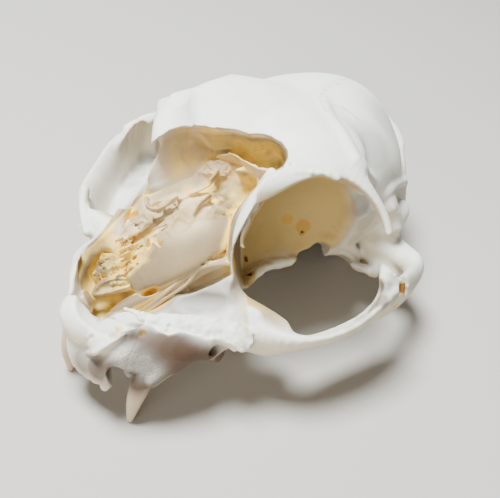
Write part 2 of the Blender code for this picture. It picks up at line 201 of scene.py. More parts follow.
def ripple(p, size, seed):
    """Smooth bumps about size across, from -1 to 1, the same on every run."""
    q = p / F32(size) + F32(seed * 7.31)
    whole = np.floor(q)
    part = q - whole
    part = part * part * (3 - 2 * part)
    i = whole.astype(np.int32) & 31
    j = (i + 1) & 31
    (x0, y0, z0), (x1, y1, z1), (u, v, w) = (np.moveaxis(k, -1, 0) for k in (i, j, part))
    near = (LATTICE[x0, y0, z0] * (1 - u) + LATTICE[x1, y0, z0] * u) * (1 - v)
    near += (LATTICE[x0, y1, z0] * (1 - u) + LATTICE[x1, y1, z0] * u) * v
    far = (LATTICE[x0, y0, z1] * (1 - u) + LATTICE[x1, y0, z1] * u) * (1 - v)
    far += (LATTICE[x0, y1, z1] * (1 - u) + LATTICE[x1, y1, z1] * u) * v
    return near * (1 - w) + far * w


class Rough:
    """A shape whose surface is ragged."""

    def __init__(self, shape, size, amount, seed):
        self.shape, self.size, self.amount, self.seed = shape, size, amount, seed
        self.low, self.high = shape.low - amount, shape.high + amount

    def __call__(self, p):
        return self.shape(p) + ripple(p, self.size, self.seed) * F32(self.amount)


def folded_over(p):
    """Points, with those of the right side brought over to the left."""
    return np.concatenate([np.abs(p[..., :1]), p[..., 1:]], -1)


EMPTY = 50
SPARE = 3


class Clay:
    """Shapes added and cut in turn. A mirrored shape is on both sides of the midline."""

    low = Slab.low
    high = Slab.high

    def __init__(self, mirrored=True):
        self.moves = []
        self.mirrored = mirrored

    def add(self, shape, blend=2.0, mirrored=None):
        self.moves.append((1, shape, blend, self.mirrored if mirrored is None else mirrored))

    def cut(self, shape, blend=0.6, mirrored=None):
        self.moves.append((-1, shape, blend, self.mirrored if mirrored is None else mirrored))

    def __call__(self, p, start=None):
        d = np.full(p.shape[:-1], EMPTY, F32) if start is None else start
        low = p.reshape(-1, 3).min(0)
        high = p.reshape(-1, 3).max(0)
        folded = folded_over(p)
        fold_low, fold_high = low.copy(), high.copy()
        fold_low[0] = 0 if low[0] < 0 < high[0] else min(abs(low[0]), abs(high[0]))
        fold_high[0] = max(abs(low[0]), abs(high[0]))
        for sign, shape, blend, mirrored in self.moves:
            first, last = (fold_low, fold_high) if mirrored else (low, high)
            if (shape.low - blend - SPARE > last).any() or (shape.high + blend + SPARE < first).any():
                continue
            e = shape(folded if mirrored else p)
            d = run_together(d, e, blend) if sign > 0 else keep_both(d, -e, blend)
        return d


form = Clay()
for centre, radii, blend in (
    ((0, 57.1, 13), (19.7, 22.1, 16.7), 2),
    ((0, 62.2, 15.4), (13.5, 18.2, 13.6), 2),
    ((0, 43, 17), (14.5, 15, 12.6), 6),
    ((7.5, 43.5, 25.6), (11, 11.3, 5.6), 3),
    ((0, 38, 8), (9, 15, 9), 4),
    ((0, 29, 19), (11.5, 10, 10.5), 4),
):
    form.add(Ball(centre, radii), blend)
form.add(Ball((0, 21, 8), (12.2, 14, 12), turn=(12, 0, 0)), 3)
form.add(Ball((3.4, 5.4, 3.6), (5.7, 4.5, 4.4)), 3)
form.add(Ball((9, 17, 3.5), (7, 10.5, 6)), 3)
form.add(Limb([(8.2, 7.8, -1, 2.5, 2.8), (8.2, 8.6, 3, 2.5, 2.7), (8.3, 10.7, 8, 2.5, 2.5),
    (8.6, 14, 13, 2, 2)], (1, 0, 0)), 2.5)
form.add(Limb([(8, 41, 25.6, 8, 4), (14, 40.5, 25.8, 7, 3), (18, 41, 25.2, 5, 2.4),
    (21.5, 42.3, 23.2, 3.4, 1.8), (24.4, 43.6, 20.8, 2.3, 1.2), (26.3, 44, 19, 1.2, 0.8)],
    (0.15, 1, 0.1)), 2.5)
form.add(Limb([(7, 27, 26, 4, 3), (10, 29.8, 27, 3.4, 3), (12.1, 33.4, 27.2, 3.2, 2.7),
    (14.8, 38.4, 26.4, 3.4, 2.5)], (1, -0.6, 0)), 2)


# The orbits. Each is a round socket that looks forward, out and up, open behind into the space under the
# arch.
ORBIT_OUT = Vector((0.62, -0.53, 0.48)).normalized()
ORBIT_RIM = Vector((20.0, 32.6, 16.6))
ORBIT_RADIUS = 12.9
ORBIT_DEPTH = 15.3
ORBIT_SINK = 2.5
orbit_up = Vector((-0.24, 0.48, 0.84))
orbit_up = (orbit_up - ORBIT_OUT * ORBIT_OUT.dot(orbit_up)).normalized()
orbit_axes = np.array((orbit_up.cross(ORBIT_OUT), orbit_up, ORBIT_OUT)).T


def orbit(grow=0.0):
    radii = (ORBIT_RADIUS + grow, ORBIT_RADIUS + grow, ORBIT_DEPTH + grow)
    return Ball(ORBIT_RIM - ORBIT_OUT * ORBIT_SINK, radii, axes=orbit_axes)



form.cut(orbit(), 1.2)
form.cut(Slab((0, 0, -2), (0, 0.2, 1)), 1.5)

# The cheek arches, which spring from the cheek and from above the ear; the brow's hooks; the shells of the
# middle ears; and the crest and the two knobs round the opening for the spine. All of it is bone of one
# piece with the rest of the form, cut in below by the palate and the passage behind it.
ARCH = 31.2
form.add(Limb([(13, 22, 3.8, 4.8, 4), (17.5, 22, 4, 4.1, 2.6), (21, 22.6, 4.2, 3.8, 1.9),
    (24.6, 26, 4.3, 4, 1.4), (ARCH - 3.1, 33.5, 4.5, 4.6, 1.3), (ARCH - 1, 40.7, 6.4, 5.1, 1.3),
    (ARCH - 0.6, 47, 5.8, 3.8, 1.3), (ARCH - 0.8, 52.6, 5.4, 2.9, 1.5), (ARCH - 2.5, 57.6, 5, 2.6, 2),
    (24.2, 60.3, 3.7, 2.6, 2.8), (19, 60.5, 4, 3.6, 3.6)], [(0, 0, 1), (0, -0.1, 1), (0.1, -0.3, 1),
    (0.3, -0.6, 0.74), (0.4, -0.6, 0.69), (0.3, -0.5, 0.81), (-0.05, -0.25, 0.97), (-0.1, 0, 1), (0, 0, 1),
    (0, 0, 1), (0, 0, 1)]), 2)
form.add(Limb([(-18.5, 26, 2, 2.4, 2.6), (-23.4, 33, 2.4, 2, 2.8), (-26.4, 40, 3, 1.8, 2.4),
    (-28.8, 46, 4, 1.5, 1.6)]), 1.5, False)
form.add(Limb([(30.2, 41.5, 8, 4, 1.5), (29.6, 43.8, 12, 3.2, 1.3), (27.9, 45.4, 14.6, 2, 1)],
    (0, 1, 0.2)), 1.5)
form.add(Limb([(-30.2, 41.5, 8, 4, 1.5), (-29.6, 43.8, 12, 3.2, 1.3), (-28.9, 46.8, 15.6, 2, 1)],
    (0, 1, 0.2)), 1.5, False)
for centre, radii, blend in (
    ((23, 59.5, 1), (5.5, 2.8, 1.8), 1.5),
    ((20, 60.5, -1), (4.2, 1.4, 2), 1),
    ((19, 63, 8), (3.1, 7, 3), 2),
):
    form.add(Ball(centre, radii), blend)
form.add(Ball(BULLA_CENTRE, BULLA_RADII, turn=(0, 0, 12)), 1.2)
form.add(Limb([(0, 79.6, 18.5, 1.9, 1), (8, 78.6, 16.5, 1.9, 1), (14.5, 75.8, 11, 1.8, 1),
    (18.3, 71.5, 5, 1.7, 1.1), (18.8, 68, 1, 1.7, 1.4)], (0, 1, 0.8)), 2)
form.add(Ball((6.5, 71, 6.5), (11, 7.5, 11)), 2)
form.add(Ball((7, 78, 0), (3.4, 4.3, 4.8), turn=(0, 0, -25)), 1.5)
form.add(Limb([(14.5, 73.5, 2, 4, 2.5), (14.5, 73.5, -3, 2.8, 1.6), (14, 72.8, -6.6, 1.2, 1)],
    (1, 0, 0)), 2)
form.cut(Ball((0, 79, 3.8), (6.3, 10, 5.2)), 0.8)
form.cut(Ball((0, 20, -3.5), (9, 15, 4)), 1)
form.cut(Ball((0, 41, -3), (4.6, 12, 5.5)), 1)
form.add(Ball((13.6, 17.9, -1.2), (1.5, 2.2, 1.7)), 0.8)

# The right cheek arch is worn thin on the side that faces the orbit, and its upper edge is ragged. The rim
# of the right orbit stands out further than that of the left. From here on a shape is on one side unless it
# says both.
form.mirrored = False
form.cut(Limb([(-20, 23.6, 5.4, 3.4, 1.4), (-21.6, 26.3, 6, 5, 1.9), (-23.3, 29, 6.2, 6.5, 2.2),
    (-25.9, 34.5, 6.4, 7.5, 2.3), (-27.8, 41.3, 7.2, 7.5, 2.3), (-28.4, 46.5, 8, 6, 2)],
    [(-0.14, -0.5, 0.86), (-0.14, -0.5, 0.86), (-0.16, -0.46, 0.87), (-0.18, -0.42, 0.89),
    (-0.05, -0.42, 0.9), (0, -0.2, 1)]), 0.8)
form.cut(Rough(Limb([(-22.6, 21.6, 7.6, 0.5, 0.5), (-25.3, 23.8, 8.3, 0.5, 0.5), (-29, 31.3, 9.9, 0.5, 0.5),
    (-30.5, 38.2, 11.7, 0.6, 0.6), (-29.8, 40.2, 13.3, 0.5, 0.5),
    (-29.2, 43.6, 16.2, 0.5, 0.5)]), 1, 0.55, 41), 0.2)
form.add(Limb([(-19, 27, 0.8, 2.6, 1.6), (-23, 33.5, 1.1, 3, 1.3), (-25.8, 40, 1.9, 3, 1.2),
    (-28.2, 45.5, 3, 2.3, 1.2)], (1, -0.3, 0.1)), 1)
form.add(Limb([(-22.5, 43, 22.1, 1.3, 0.9), (-20, 39.8, 24, 1.6, 1.2), (-17.6, 37, 25.2, 1.8, 1.2),
    (-14.6, 33.2, 26.5, 1.8, 1.1), (-12.2, 30.2, 27.1, 1.6, 1), (-10.4, 27.8, 27.5, 1.3, 0.9),
    (-9.2, 26, 27.2, 1, 0.8)], (1, 0.1, 0.5)), 1.2)
brow_axes = np.array([(0.661, -0.661, 0.355), (0.387, 0.703, 0.588), (-0.64, -0.25, 0.72)]).T
form.add(Ball((-17.4, 38, 25.8), (10.5, 3.6, 1.3), axes=brow_axes), 1.2)

# The upper incisors. All that is left of them is one worn peg on the left and the stubs of the others, in a
# row across the front of the snout.
form.add(Limb([(4.9, 3, 1.5, 1.5, 1.4), (4.95, 2, -1, 1.2, 1.1), (4.9, 1.3, -3.3, 0.7, 0.6)],
    (1, 0, 0)), 0.8)
form.add(Limb([(-4.6, 3.4, -0.9, 2.5, 1.5), (-2.8, 2.6, -1.5, 2.8, 1.5), (-1, 2.3, -1.7, 2.8, 1.5),
    (1, 2.3, -1.7, 2.8, 1.5), (2.8, 2.5, -1.6, 2.8, 1.5), (4.6, 3.1, -1, 2.6, 1.5)], (0, 0.2, 1)), 1)
for bump in (0.8, 2.4, 4.0):
    form.add(Ball((bump, 2.0 + 0.05 * bump ** 2, -3.9), (0.85, 1.0, 0.9)), 0.6, True)
    form.cut(Ball((bump, 1.9 + 0.05 * bump ** 2, -5.0), (0.4, 0.5, 0.7)), 0.3, True)


# The broken nose. The nasal bones, the left wall of the nose and the front of the forehead are broken away.
# What shows in there is placed by where it shows in the photograph and by how deep it lies under the break.
BREAK = np.array([(-9.5, 13, 13), (11, 12.5, 7.5), (0, 34, 28.5)])
break_out = np.cross(BREAK[1] - BREAK[0], BREAK[2] - BREAK[0])
break_out = break_out / np.linalg.norm(break_out)
lens = np.array((right, above, back))
eye_point = np.array(eye)
MIDDLE = (PHOTO[0] / 2, PHOTO[1] / 2)


def ray_through(x, y):
    return np.array([x - MIDDLE[0], MIDDLE[1] - y, -FOCAL]) @ lens


def in_nose(x, y, depth):
    ray = ray_through(x, y)
    return eye_point + ray * ((break_out @ (BREAK[0] - eye_point) - depth) / (break_out @ ray))


def nose_limb(stations, broad, steps=3):
    """Stations in the photograph, each with its depth, half breadth and half thickness in millimetres."""
    return Limb([(*in_nose(x, y, depth), breadth, thick) for x, y, depth, breadth, thick in stations],
        broad, steps)


def nose_ball(x, y, depth, toward, radii):
    """A ball whose long axis runs toward another spot in the photograph."""
    along = in_nose(*toward, depth) - in_nose(x, y, depth)
    along = along / np.linalg.norm(along)
    axes = np.stack([along, np.cross(break_out, along), break_out], 1)
    return Ball(in_nose(x, y, depth), radii, axes=axes)


across = in_nose(180, 226, 0) - in_nose(200, 260, 0)
down = in_nose(200, 320, 0) - in_nose(200, 300, 0)
OPENING = [(101, 322), (91, 311), (83, 298), (78, 280), (79, 262), (88, 245), (100, 233), (113, 221),
    (121, 209), (131, 199), (140, 184), (145, 172), (147, 165), (144, 156), (150, 147), (159, 138),
    (170, 131), (182, 127.5), (205, 127), (222, 130), (236, 131), (247, 134), (260, 135), (272, 138),
    (281, 144), (286, 151), (287, 158), (284, 167), (275, 173), (264, 176), (258, 190), (256, 198),
    (250, 214), (242, 232), (242, 260), (244, 285), (247, 300), (250, 330), (246, 350), (225, 342),
    (200, 336), (180, 331), (168, 334), (157, 331), (147, 323), (139, 314), (127, 309), (112, 316)]


def grid_points(lines):
    return np.stack(np.meshgrid(*lines, indexing="ij"), -1)


# The outline's table: how far each pixel of this part of the photograph is from the outline.
TABLE_LOW = (40, 90)
TABLE_HIGH = (330, 390)
table = grid_points([np.arange(*ends) for ends in zip(TABLE_LOW, TABLE_HIGH)]).astype(float)
outline_away = np.full(table.shape[:2], 1e9)
outline_in = np.zeros(table.shape[:2], bool)
for a, b in zip(np.array(OPENING, float), np.roll(np.array(OPENING, float), -1, 0)):
    step = b - a
    t = np.clip(((table - a) @ step) / (step @ step), 0, 1)
    outline_away = np.minimum(outline_away, np.linalg.norm(table - a - t[..., None] * step, axis=-1))
    if step[1] != 0:
        passes = (a[1] > table[..., 1]) != (b[1] > table[..., 1])
        outline_in ^= passes & (table[..., 0] < a[0] + (table[..., 1] - a[1]) * step[0] / step[1])
outline_away = (outline_away * np.where(outline_in, -1, 1)).astype(F32)


class Opening:
    """What lies behind the outline of the broken opening, down to a depth."""

    low = np.array([-16.0, -8, 0])
    high = np.array([26.0, 48, 40])

    def __init__(self, depth):
        self.depth = depth

    def __call__(self, p):
        q = (p - eye_point.astype(F32)) @ lens.T.astype(F32)
        scale = F32(FOCAL) / -q[..., 2]
        x = np.clip(MIDDLE[0] - TABLE_LOW[0] + q[..., 0] * scale, 0, outline_away.shape[0] - 1.01)
        y = np.clip(MIDDLE[1] - TABLE_LOW[1] - q[..., 1] * scale, 0, outline_away.shape[1] - 1.01)
        i, j = x.astype(np.int32), y.astype(np.int32)
        u, v = x - i, y - j
        edge = (outline_away[i, j] * (1 - u) + outline_away[i + 1, j] * u) * (1 - v)
        edge += (outline_away[i, j + 1] * (1 - u) + outline_away[i + 1, j + 1] * u) * v
        under = (p - BREAK[0].astype(F32)) @ -break_out.astype(F32) - F32(self.depth)
        return np.maximum(edge / scale, under).astype(F32)


class Clear:
    """A shape kept clear of both orbits by a wall of bone."""

    def __init__(self, shape, wall=1.0):
        self.shape = shape
        self.orbit = orbit(wall)
        self.low, self.high = shape.low, shape.high

    def __call__(self, p):
        return keep_both(self.shape(p), -self.orbit(folded_over(p)), 0.3)


for depth, size, seed, wall in ((1.6, 1.1, 3, 0.7), (3.2, 2, 4, 0.9)):
    form.cut(Clear(Rough(Opening(depth), size, 0.3, seed), wall), 0.25)
form.cut(Ball((0, 11, 10), (7.3, 11, 6.4)), 0.6, True)
form.cut(Clear(Ball((0, 24, 14.5), (10.2, 14, 10.8))), 0.6)
for ball, blend in (
    ((180, 156, 3.5, (225, 140), (6.2, 3.9, 5)), 0.4),
    ((222, 152, 3.5, (260, 150), (6.5, 3.2, 5.5)), 0.8),
    ((264, 157, 4.5, (285, 162), (3.7, 2.8, 5.8)), 0.8),
    ((239, 190, 4.5, (256, 180), (3.4, 2.7, 4.5)), 0.4),
):
    form.cut(Clear(nose_ball(*ball)), blend)
for ball, blend in (
    ((87, 277, 1, (98, 240), (5.5, 1.5, 2.6)), 1.6),
    ((106, 300, 4.5, (136, 286), (4.6, 2.7, 5)), 0.8),
    ((99, 274, 3.6, (112, 246), (4.2, 2.4, 3.4)), 0.8),
):
    form.cut(nose_ball(*ball), blend)
for ball, blend in (
    ((203, 300, 0.4, (245, 303), (7.6, 2.6, 4.2)), 0.5),
    ((214, 277, 5.5, (240, 268), (5, 1.7, 3.5)), 0.4),
):
    form.cut(Clear(nose_ball(*ball), 0.8), blend)
form.add(Ball(in_nose(104, 311, 9.2), (3.8, 3.8, 1.1)), 0.6)

# Thin ridges and struts of bone that are left standing round the opening: across the sinus, down the edge
# of the orbit and along the floor of the nose. Their edges are ragged.
form.add(Rough(nose_limb([(276, 175, 2.6, 2.4, 0.6), (262, 173, 3.4, 2.6, 0.4), (248, 167, 4.6, 2.6, 0.35),
    (236, 160, 6.2, 2.4, 0.35), (222, 160, 7.8, 2, 0.35)], break_out), 0.8, 0.15, 7), 0.5)
form.add(Rough(nose_limb([(274, 175, 0.6, 1.5, 0.8), (264, 189, 0.7, 1.3, 0.8), (256, 204, 0.9, 1.1, 0.7),
    (248, 220, 1.2, 0.8, 0.6), (243, 236, 1.5, 0.45, 0.45), (242.5, 250, 1.8, 0.4, 0.4),
    (245, 268, 2.2, 0.4, 0.35), (246.5, 284, 2.3, 0.5, 0.4),
    (249, 302, 2, 1, 0.8)], across), 0.9, 0.16, 14), 0.6)
form.add(Rough(nose_limb([(126, 308.5, -0.7, 0.3, 0.4), (133, 311.5, -0.6, 0.5, 0.5),
    (141, 316, -0.4, 0.8, 0.7), (150, 320, -0.2, 1.1, 0.8), (160, 323, 0.1, 1.6, 0.8),
    (170, 324, 0.4, 1.75, 0.8), (181, 322.5, 0.8, 1.3, 0.8), (196, 325, 1.4, 1.6, 0.8),
    (216, 328, 2.1, 1.8, 0.8), (232, 333, 2.8, 1.8, 0.8),
    (246, 339, 3.6, 1.7, 0.8)], down), 0.7, 0.28, 8), 0.9)
form.add(Rough(nose_ball(236, 341, 3.6, (250, 345), (2.8, 1.6, 1.2)), 0.6, 0.25, 12), 1)
form.cut(Rough(nose_limb([(128, 322, 0.6, 0.5, 0.6), (136, 326, 0.8, 0.9, 0.9), (147, 336, 1, 1.2, 1.1),
    (160, 344, 1.4, 1.3, 1.2), (174, 343, 1.8, 1.2, 1.2), (192, 346, 2.4, 1.2, 1.2),
    (212, 349, 3.4, 1.1, 1), (232, 357, 4.6, 0.8, 0.8)], down), 0.9, 0.2, 15), 0.4)


SIGHT = np.arange(90, 190, 0.1)


def seen_at(x, y):
    """Where the form shows at a spot in the photograph."""
    ray = ray_through(x, y)
    along = (eye_point + SIGHT[:, None] * ray / np.linalg.norm(ray)).astype(F32)
    return along[(form(along) < 0).argmax()]


# The worn and uneven borders of the skull: along the brow, the muzzle, the tooth row, the arch and the
# floor of the orbit. Each limb is placed by where it shows in the photograph and by its distance from the
# camera, and it is longest in the direction of sight.
def in_sight(spots, size, reach):
    """A limb along spots, each x, y in the photograph and how far away it is."""
    ray = np.array([(x - MIDDLE[0], MIDDLE[1] - y, -FOCAL) for x, y, away in spots]) @ lens
    points = eye_point + ray * np.array(spots)[:, 2:] / FOCAL
    return Limb([(*point, reach, size) for point in points], lens[2], 3)


for spots, size, reach, blend in (
    (((160, 77, 135), (180, 75.5, 135), (200, 65, 135), (213, 58.5, 135)), 3, 20, 0.8),
    (((138, 107, 154), (144, 106, 154), (150, 105, 154)), 2.1, 8, 0.3),
    (((51.5, 264, 126), (52, 278, 126), (54, 290, 126), (50.5, 302, 126), (46.5, 312, 126),
        (52.5, 325, 126), (51, 338, 126), (51, 352, 126), (56, 374, 126)), 2.5, 14, 1),
    (((115.5, 375, 119.5), (117, 382, 119.5)), 1.5, 8, 0.3),
    (((179, 385, 124), (190, 376.5, 124), (199, 371, 124), (204, 373.5, 124)), 2, 12, 0.6),
    (((296, 321.5, 129), (308, 325, 129), (323, 322, 130), (342, 315, 131), (357, 306, 132),
        (366, 293, 133)), 1.75, 8, 0.5),
    (((303, 258, 147), (312, 254.5, 147), (319, 248, 147)), 1.6, 16, 0.5),
    (((332, 263, 155), (341, 263, 155), (347, 267, 155)), 1.6, 16, 0.5),
    (((401.5, 239, 139), (406, 237, 139), (412, 233, 139)), 0.55, 6, 0.4),
    (((417.5, 150, 157), (418.5, 170, 157), (418.5, 190, 157), (417, 210, 157),
        (417.5, 222, 157)), 2.2, 11, 1),
):
    form.cut(in_sight(spots, size, reach), blend)
for spots, size, reach, blend in (
    (((127, 128, 154.5), (136, 123, 155), (148, 121.5, 156.5)), 0.8, 0.8, 0.6),
    (((148, 122, 156.5), (149, 135, 158.5), (149, 150, 160), (151, 164, 161)), 1.6, 0.7, 1),
    (((85, 190, 140), (83.5, 205, 139.5), (85, 218, 138.5), (88, 232, 138)), 0.9, 1.2, 0.6),
    (((82, 226.5, 138.5), (80, 226, 138.5)), 0.25, 0.3, 0.2),
    (((152, 381, 122), (161, 373.5, 122), (171, 366, 122)), 0.8, 2, 2.2),
    (((128, 371, 120.5), (130, 374, 120.5)), 0.6, 1, 0.6),
    (((252, 309, 125), (260, 312, 126), (269, 317, 127), (281, 325, 128)), 1.2, 3, 2),
):
    form.add(in_sight(spots, size, reach), blend)
form.add(Rough(in_sight(((246.5, 283, 133), (252.5, 274, 136), (265, 267.5, 139), (279, 263.5, 141),
    (290, 260.5, 141.7)), 0.9, 1.4), 1.4, 0.35, 18), 0.8)
form.add(Rough(in_sight(((357, 266.5, 152), (366, 269, 150.5),
    (372.5, 272, 149.5)), 0.9, 2), 1.2, 0.35, 19), 0.8)

for spots, size, reach, blend in (
    (((386, 203, 143.5), (391, 213, 145.5), (393, 222, 146.5)), 1.6, 3, 3),
    (((392, 260, 130), (396, 273, 132), (398, 288, 133)), 0.9, 1.6, 1.5),
):
    form.add(in_sight(spots, size, reach), blend)

# The shelf above the teeth stands out over the side of the muzzle, with a shallow fold of bone under it.
shelf = [seen_at(x, y) for x, y in ((88, 353), (96, 353), (105, 348), (115, 342), (124, 335.5))]
fold = [seen_at(x, y) for x, y in ((96, 360), (106, 355), (116, 349), (126, 343), (134, 340))]
form.add(Limb([(*point, size, size) for point, size in zip(shelf, (0.3, 0.5, 0.6, 0.6, 0.4))]), 0.7)
form.cut(Limb([(*point, size, size) for point, size in zip(fold, (0.3, 0.6, 0.8, 0.8, 0.5))]), 1.2)
form.cut(Rough(Limb([(*seen_at(x, y), 0.3, 0.3) for x, y in ((82, 345), (87, 340.5),
    (92, 336.5))]), 1, 0.15, 61), 0.2)
form.cut(Limb([(*seen_at(x, y), 0.8, 0.8) for x, y in ((114, 334), (122, 329))]), 0.3)

# The temporal line, from the brow up over the braincase; the crest above the ear; the worn upper rim of the
# orbit; and the faint ridges of the orbit's inner wall.
def traced(spots, size, height, blend):
    """A limb along spots of the photograph that rises out of the surface and runs out at both ends."""
    stations = []
    for k, (x, y) in enumerate(spots):
        rise = math.sin(math.pi * (k + 0.5) / len(spots))
        lift = (height + blend) * rise - size - blend
        stations.append((*(seen_at(x, y) + lens[2] * lift), size, size))
    return Limb(stations, steps=3)


temporal_line = traced(((322, 100), (328, 117), (338, 130), (347, 146), (359, 166), (371, 181),
    (379, 193)), 1.2, 0.05, 1.2)
ear_crest = traced(((382, 197), (391, 189), (399, 183), (405, 181)), 0.8, 0.35, 0.8)
orbit_rim = traced(((286, 173), (300, 172), (312, 172), (324, 174), (336, 178), (348, 184),
    (362, 193)), 0.45, 0.35, 0.5)
wall_ridge = traced(((348, 220), (356, 215), (364, 211), (372, 209)), 0.8, 0.3, 1.2)
low_ridge = traced(((322, 238), (334, 240), (348, 246), (364, 259)), 0.8, 0.3, 1.2)
form.add(temporal_line, 1.2)
form.add(ear_crest, 0.8, True)
form.add(Rough(orbit_rim, 0.8, 0.25, 17), 0.5)
form.add(wall_ridge, 1.2, True)
form.add(low_ridge, 1.2, True)

# Small openings for nerves and vessels, and dents, bored into the form: where each shows in the photograph,
# and its radius in millimetres.
for x, y, size in (
    (302, 232, 0.35),
    (402, 286, 0.55),
    (401, 291, 0.6),
    (292, 164, 0.3),
    (170, 326, 0.3),
    (143, 333, 0.35),
    (396, 305, 0.4),
    (391, 308, 0.35),
    (246, 259, 0.5),
    (249, 274, 0.45),
):
    form.cut(Ball(seen_at(x, y), (size, size, size * 1.6)), 0.3)

# The form is worked out on a grid of small cells, and again on a finer one round the nose. A bone's surface
# is laid as four-sided faces through the cells that it passes.
LOW = np.array([-35.0, -1.5, -12.5])
HIGH = np.array([35.0, 84.0, 36.0])
BLOCK = 16
SMOOTH_CELL = 0.34
FINE_CELL = 0.2


def grid_of(shape, low, high, cell):
    """The shape's distances on a grid, worked out in full only in the blocks near its surface."""
    count = np.ceil((high - low) / cell / BLOCK).astype(int) * BLOCK
    out = np.full(count + 1, FAR, F32)
    coarse = BLOCK // 4
    for start in np.ndindex(*(count // BLOCK)):
        first = np.array(start) * BLOCK
        lines = [(low[k] + (first[k] + np.arange(0, BLOCK + 1)) * cell).astype(F32) for k in range(3)]
        rough = shape(grid_points([line[::coarse] for line in lines]))
        place = tuple(slice(f, f + BLOCK + 1) for f in first)
        if np.abs(rough).min() > coarse * cell * 1.2 + 0.7:
            out[place] = np.sign(rough.flat[0]) * FAR
        else:
            out[place] = shape(grid_points(lines))
    return out


def skin_of(values, low, cell):
    """Corners and four-sided faces where the values pass through nothing."""
    inside = values < 0
    count = np.array(values.shape) - 1
    corners = list(np.ndindex(2, 2, 2))

    def shifted(grid, corner):
        return grid[tuple(slice(c, c + n) for c, n in zip(corner, count))]

    filled = sum(shifted(inside, c).astype(np.int8) for c in corners)
    active = (filled > 0) & (filled < 8)
    where = np.argwhere(active)
    index = np.full(count, -1, np.int32)
    index[active] = np.arange(len(where))
    total = np.zeros((len(where), 3))
    crossings = np.zeros(len(where))
    for i, a in enumerate(corners):
        for b in corners[i + 1:]:
            if np.abs(np.subtract(a, b)).sum() != 1:
                continue
            va = values[tuple((where + a).T)]
            vb = values[tuple((where + b).T)]
            passes = (va < 0) != (vb < 0)
            t = np.where(passes, va / np.where(passes, va - vb, 1), 0)
            total += (np.array(a) + t[:, None] * np.subtract(b, a)) * passes[:, None]
            crossings += passes
    points = (where + total / crossings[:, None]) * cell + low
    faces = []
    for axis, (u, v) in enumerate(((1, 2), (2, 0), (0, 1))):
        lower = inside.take(range(inside.shape[axis] - 1), axis)
        upper = inside.take(range(1, inside.shape[axis]), axis)
        edges = np.argwhere(lower != upper)
        edges = edges[((edges[:, [u, v]] > 0) & (edges[:, [u, v]] < count[[u, v]])).all(1)]
        ring = []
        for du, dv in ((1, 1), (0, 1), (0, 0), (1, 0)):
            q = edges.copy()
            q[:, u] -= du
            q[:, v] -= dv
            ring.append(index[tuple(q.T)])
        ring = np.stack(ring, 1)
        flip = ~lower[tuple(edges.T)]
        ring[flip] = ring[flip][:, ::-1]
        faces.append(ring)
    return points, np.concatenate(faces)


def largest(points, faces):
    """Drops loose crumbs."""
    label = np.arange(len(points))
    while True:
        low = label[faces].min(1)
        new = label.copy()
        for k in range(4):
            np.minimum.at(new, faces[:, k], low)
        new = new[new]
        if (new == label).all():
            break
        label = new
    names, counts = np.unique(label, return_counts=True)
    keep = label == names[counts.argmax()]
    index = np.cumsum(keep) - 1
    return points[keep], index[faces[keep[faces[:, 0]]]]


# The scrolls of thin bone in the nose, the ethmoid and its turbinates, dried and partly crushed: a big smooth
# plate, folds and struts beside it, and a ragged mass of broken leaves in front. They are all one piece.
class Crumpled(Rough):
    """A shape folded like crushed paper, in sharp ridges."""

    def __call__(self, p):
        fold = np.abs(ripple(p, self.size, self.seed))
        fold = fold + 0.5 * np.abs(ripple(p, self.size * 0.45, self.seed + 1))
        return self.shape(p) + (fold * 2.2 - 0.6) * F32(self.amount)


scrolls = Clay(mirrored=False)
scrolls.add(Slab(BREAK[0] - break_out * 7.6, break_out), 0.5)
for spots, blend in (
    ([(130, 272, 7.2, 2.4, 2.4), (150, 258, 6.8, 4.5, 2.6), (180, 238, 6.6, 5.5, 3), (205, 222, 7, 5, 3),
        (224, 218, 8, 3.8, 3)], 1.5),
    ([(150, 212, 6.2, 3, 2.4), (178, 194, 6.6, 3.4, 2.2), (200, 184, 8.2, 3, 2)], 1.5),
    ([(112, 246, 6.4, 1.6, 1.8), (134, 222, 5.8, 2, 1.8), (148, 203, 6, 2.2, 1.8)], 1),
):
    scrolls.add(nose_limb(spots, across), blend)
for ball, blend in (
    ((214, 277, 6.5, (240, 268), (5.2, 1.7, 4.5)), 0.4),
    ((106, 302, 7.5, (130, 288), (4.4, 2.4, 5)), 0.5),
):
    scrolls.cut(nose_ball(*ball), blend)
for spots, blend in (
    ([(96, 318, 9.5, 2.2, 1.6), (108, 312, 10, 2.6, 1.8), (124, 304, 10.5, 2.2, 1.6)], 1),
    ([(136.5, 281, 4.8, 2.4, 1.4), (150, 271, 4.3, 3.4, 1.8), (178, 253, 4, 4, 2),
        (205, 238, 4.2, 3.9, 1.9), (228, 230, 5, 2.8, 1.4)], 0.25),
    ([(107, 323, 4.6, 0.5, 0.8), (111, 318, 4.4, 0.9, 1), (118, 312, 4.4, 1.1, 1.2),
        (130, 305, 4.8, 1.3, 1.3), (143, 299, 5.2, 1.4, 1.3), (156, 292, 5.8, 1.5, 1.3),
        (176, 281, 5.9, 1.8, 1.3), (200, 267, 6.2, 1.5, 1.2), (232, 256, 6.4, 1.2, 1.2)], 0.3),
    ([(138, 313, 3.8, 0.3, 0.3), (158, 299, 4.3, 0.3, 0.3), (182, 280, 4.6, 0.3, 0.3),
        (208, 265, 4.2, 0.35, 0.3), (232, 258, 4, 0.4, 0.3), (243, 250, 2.6, 0.4, 0.3)], 0.4),
    ([(146, 312, 4.4, 0.25, 0.3), (165, 299, 4.7, 0.25, 0.3), (186, 285, 4.8, 0.3, 0.3),
        (199, 270, 4.6, 0.35, 0.3), (211, 265.5, 4.2, 0.4, 0.35), (226, 263.5, 3.8, 0.4, 0.35),
        (238, 264, 3, 0.4, 0.35), (244, 258, 2.2, 0.4, 0.35)], 0.3),
):
    scrolls.add(nose_limb(spots, across), blend)
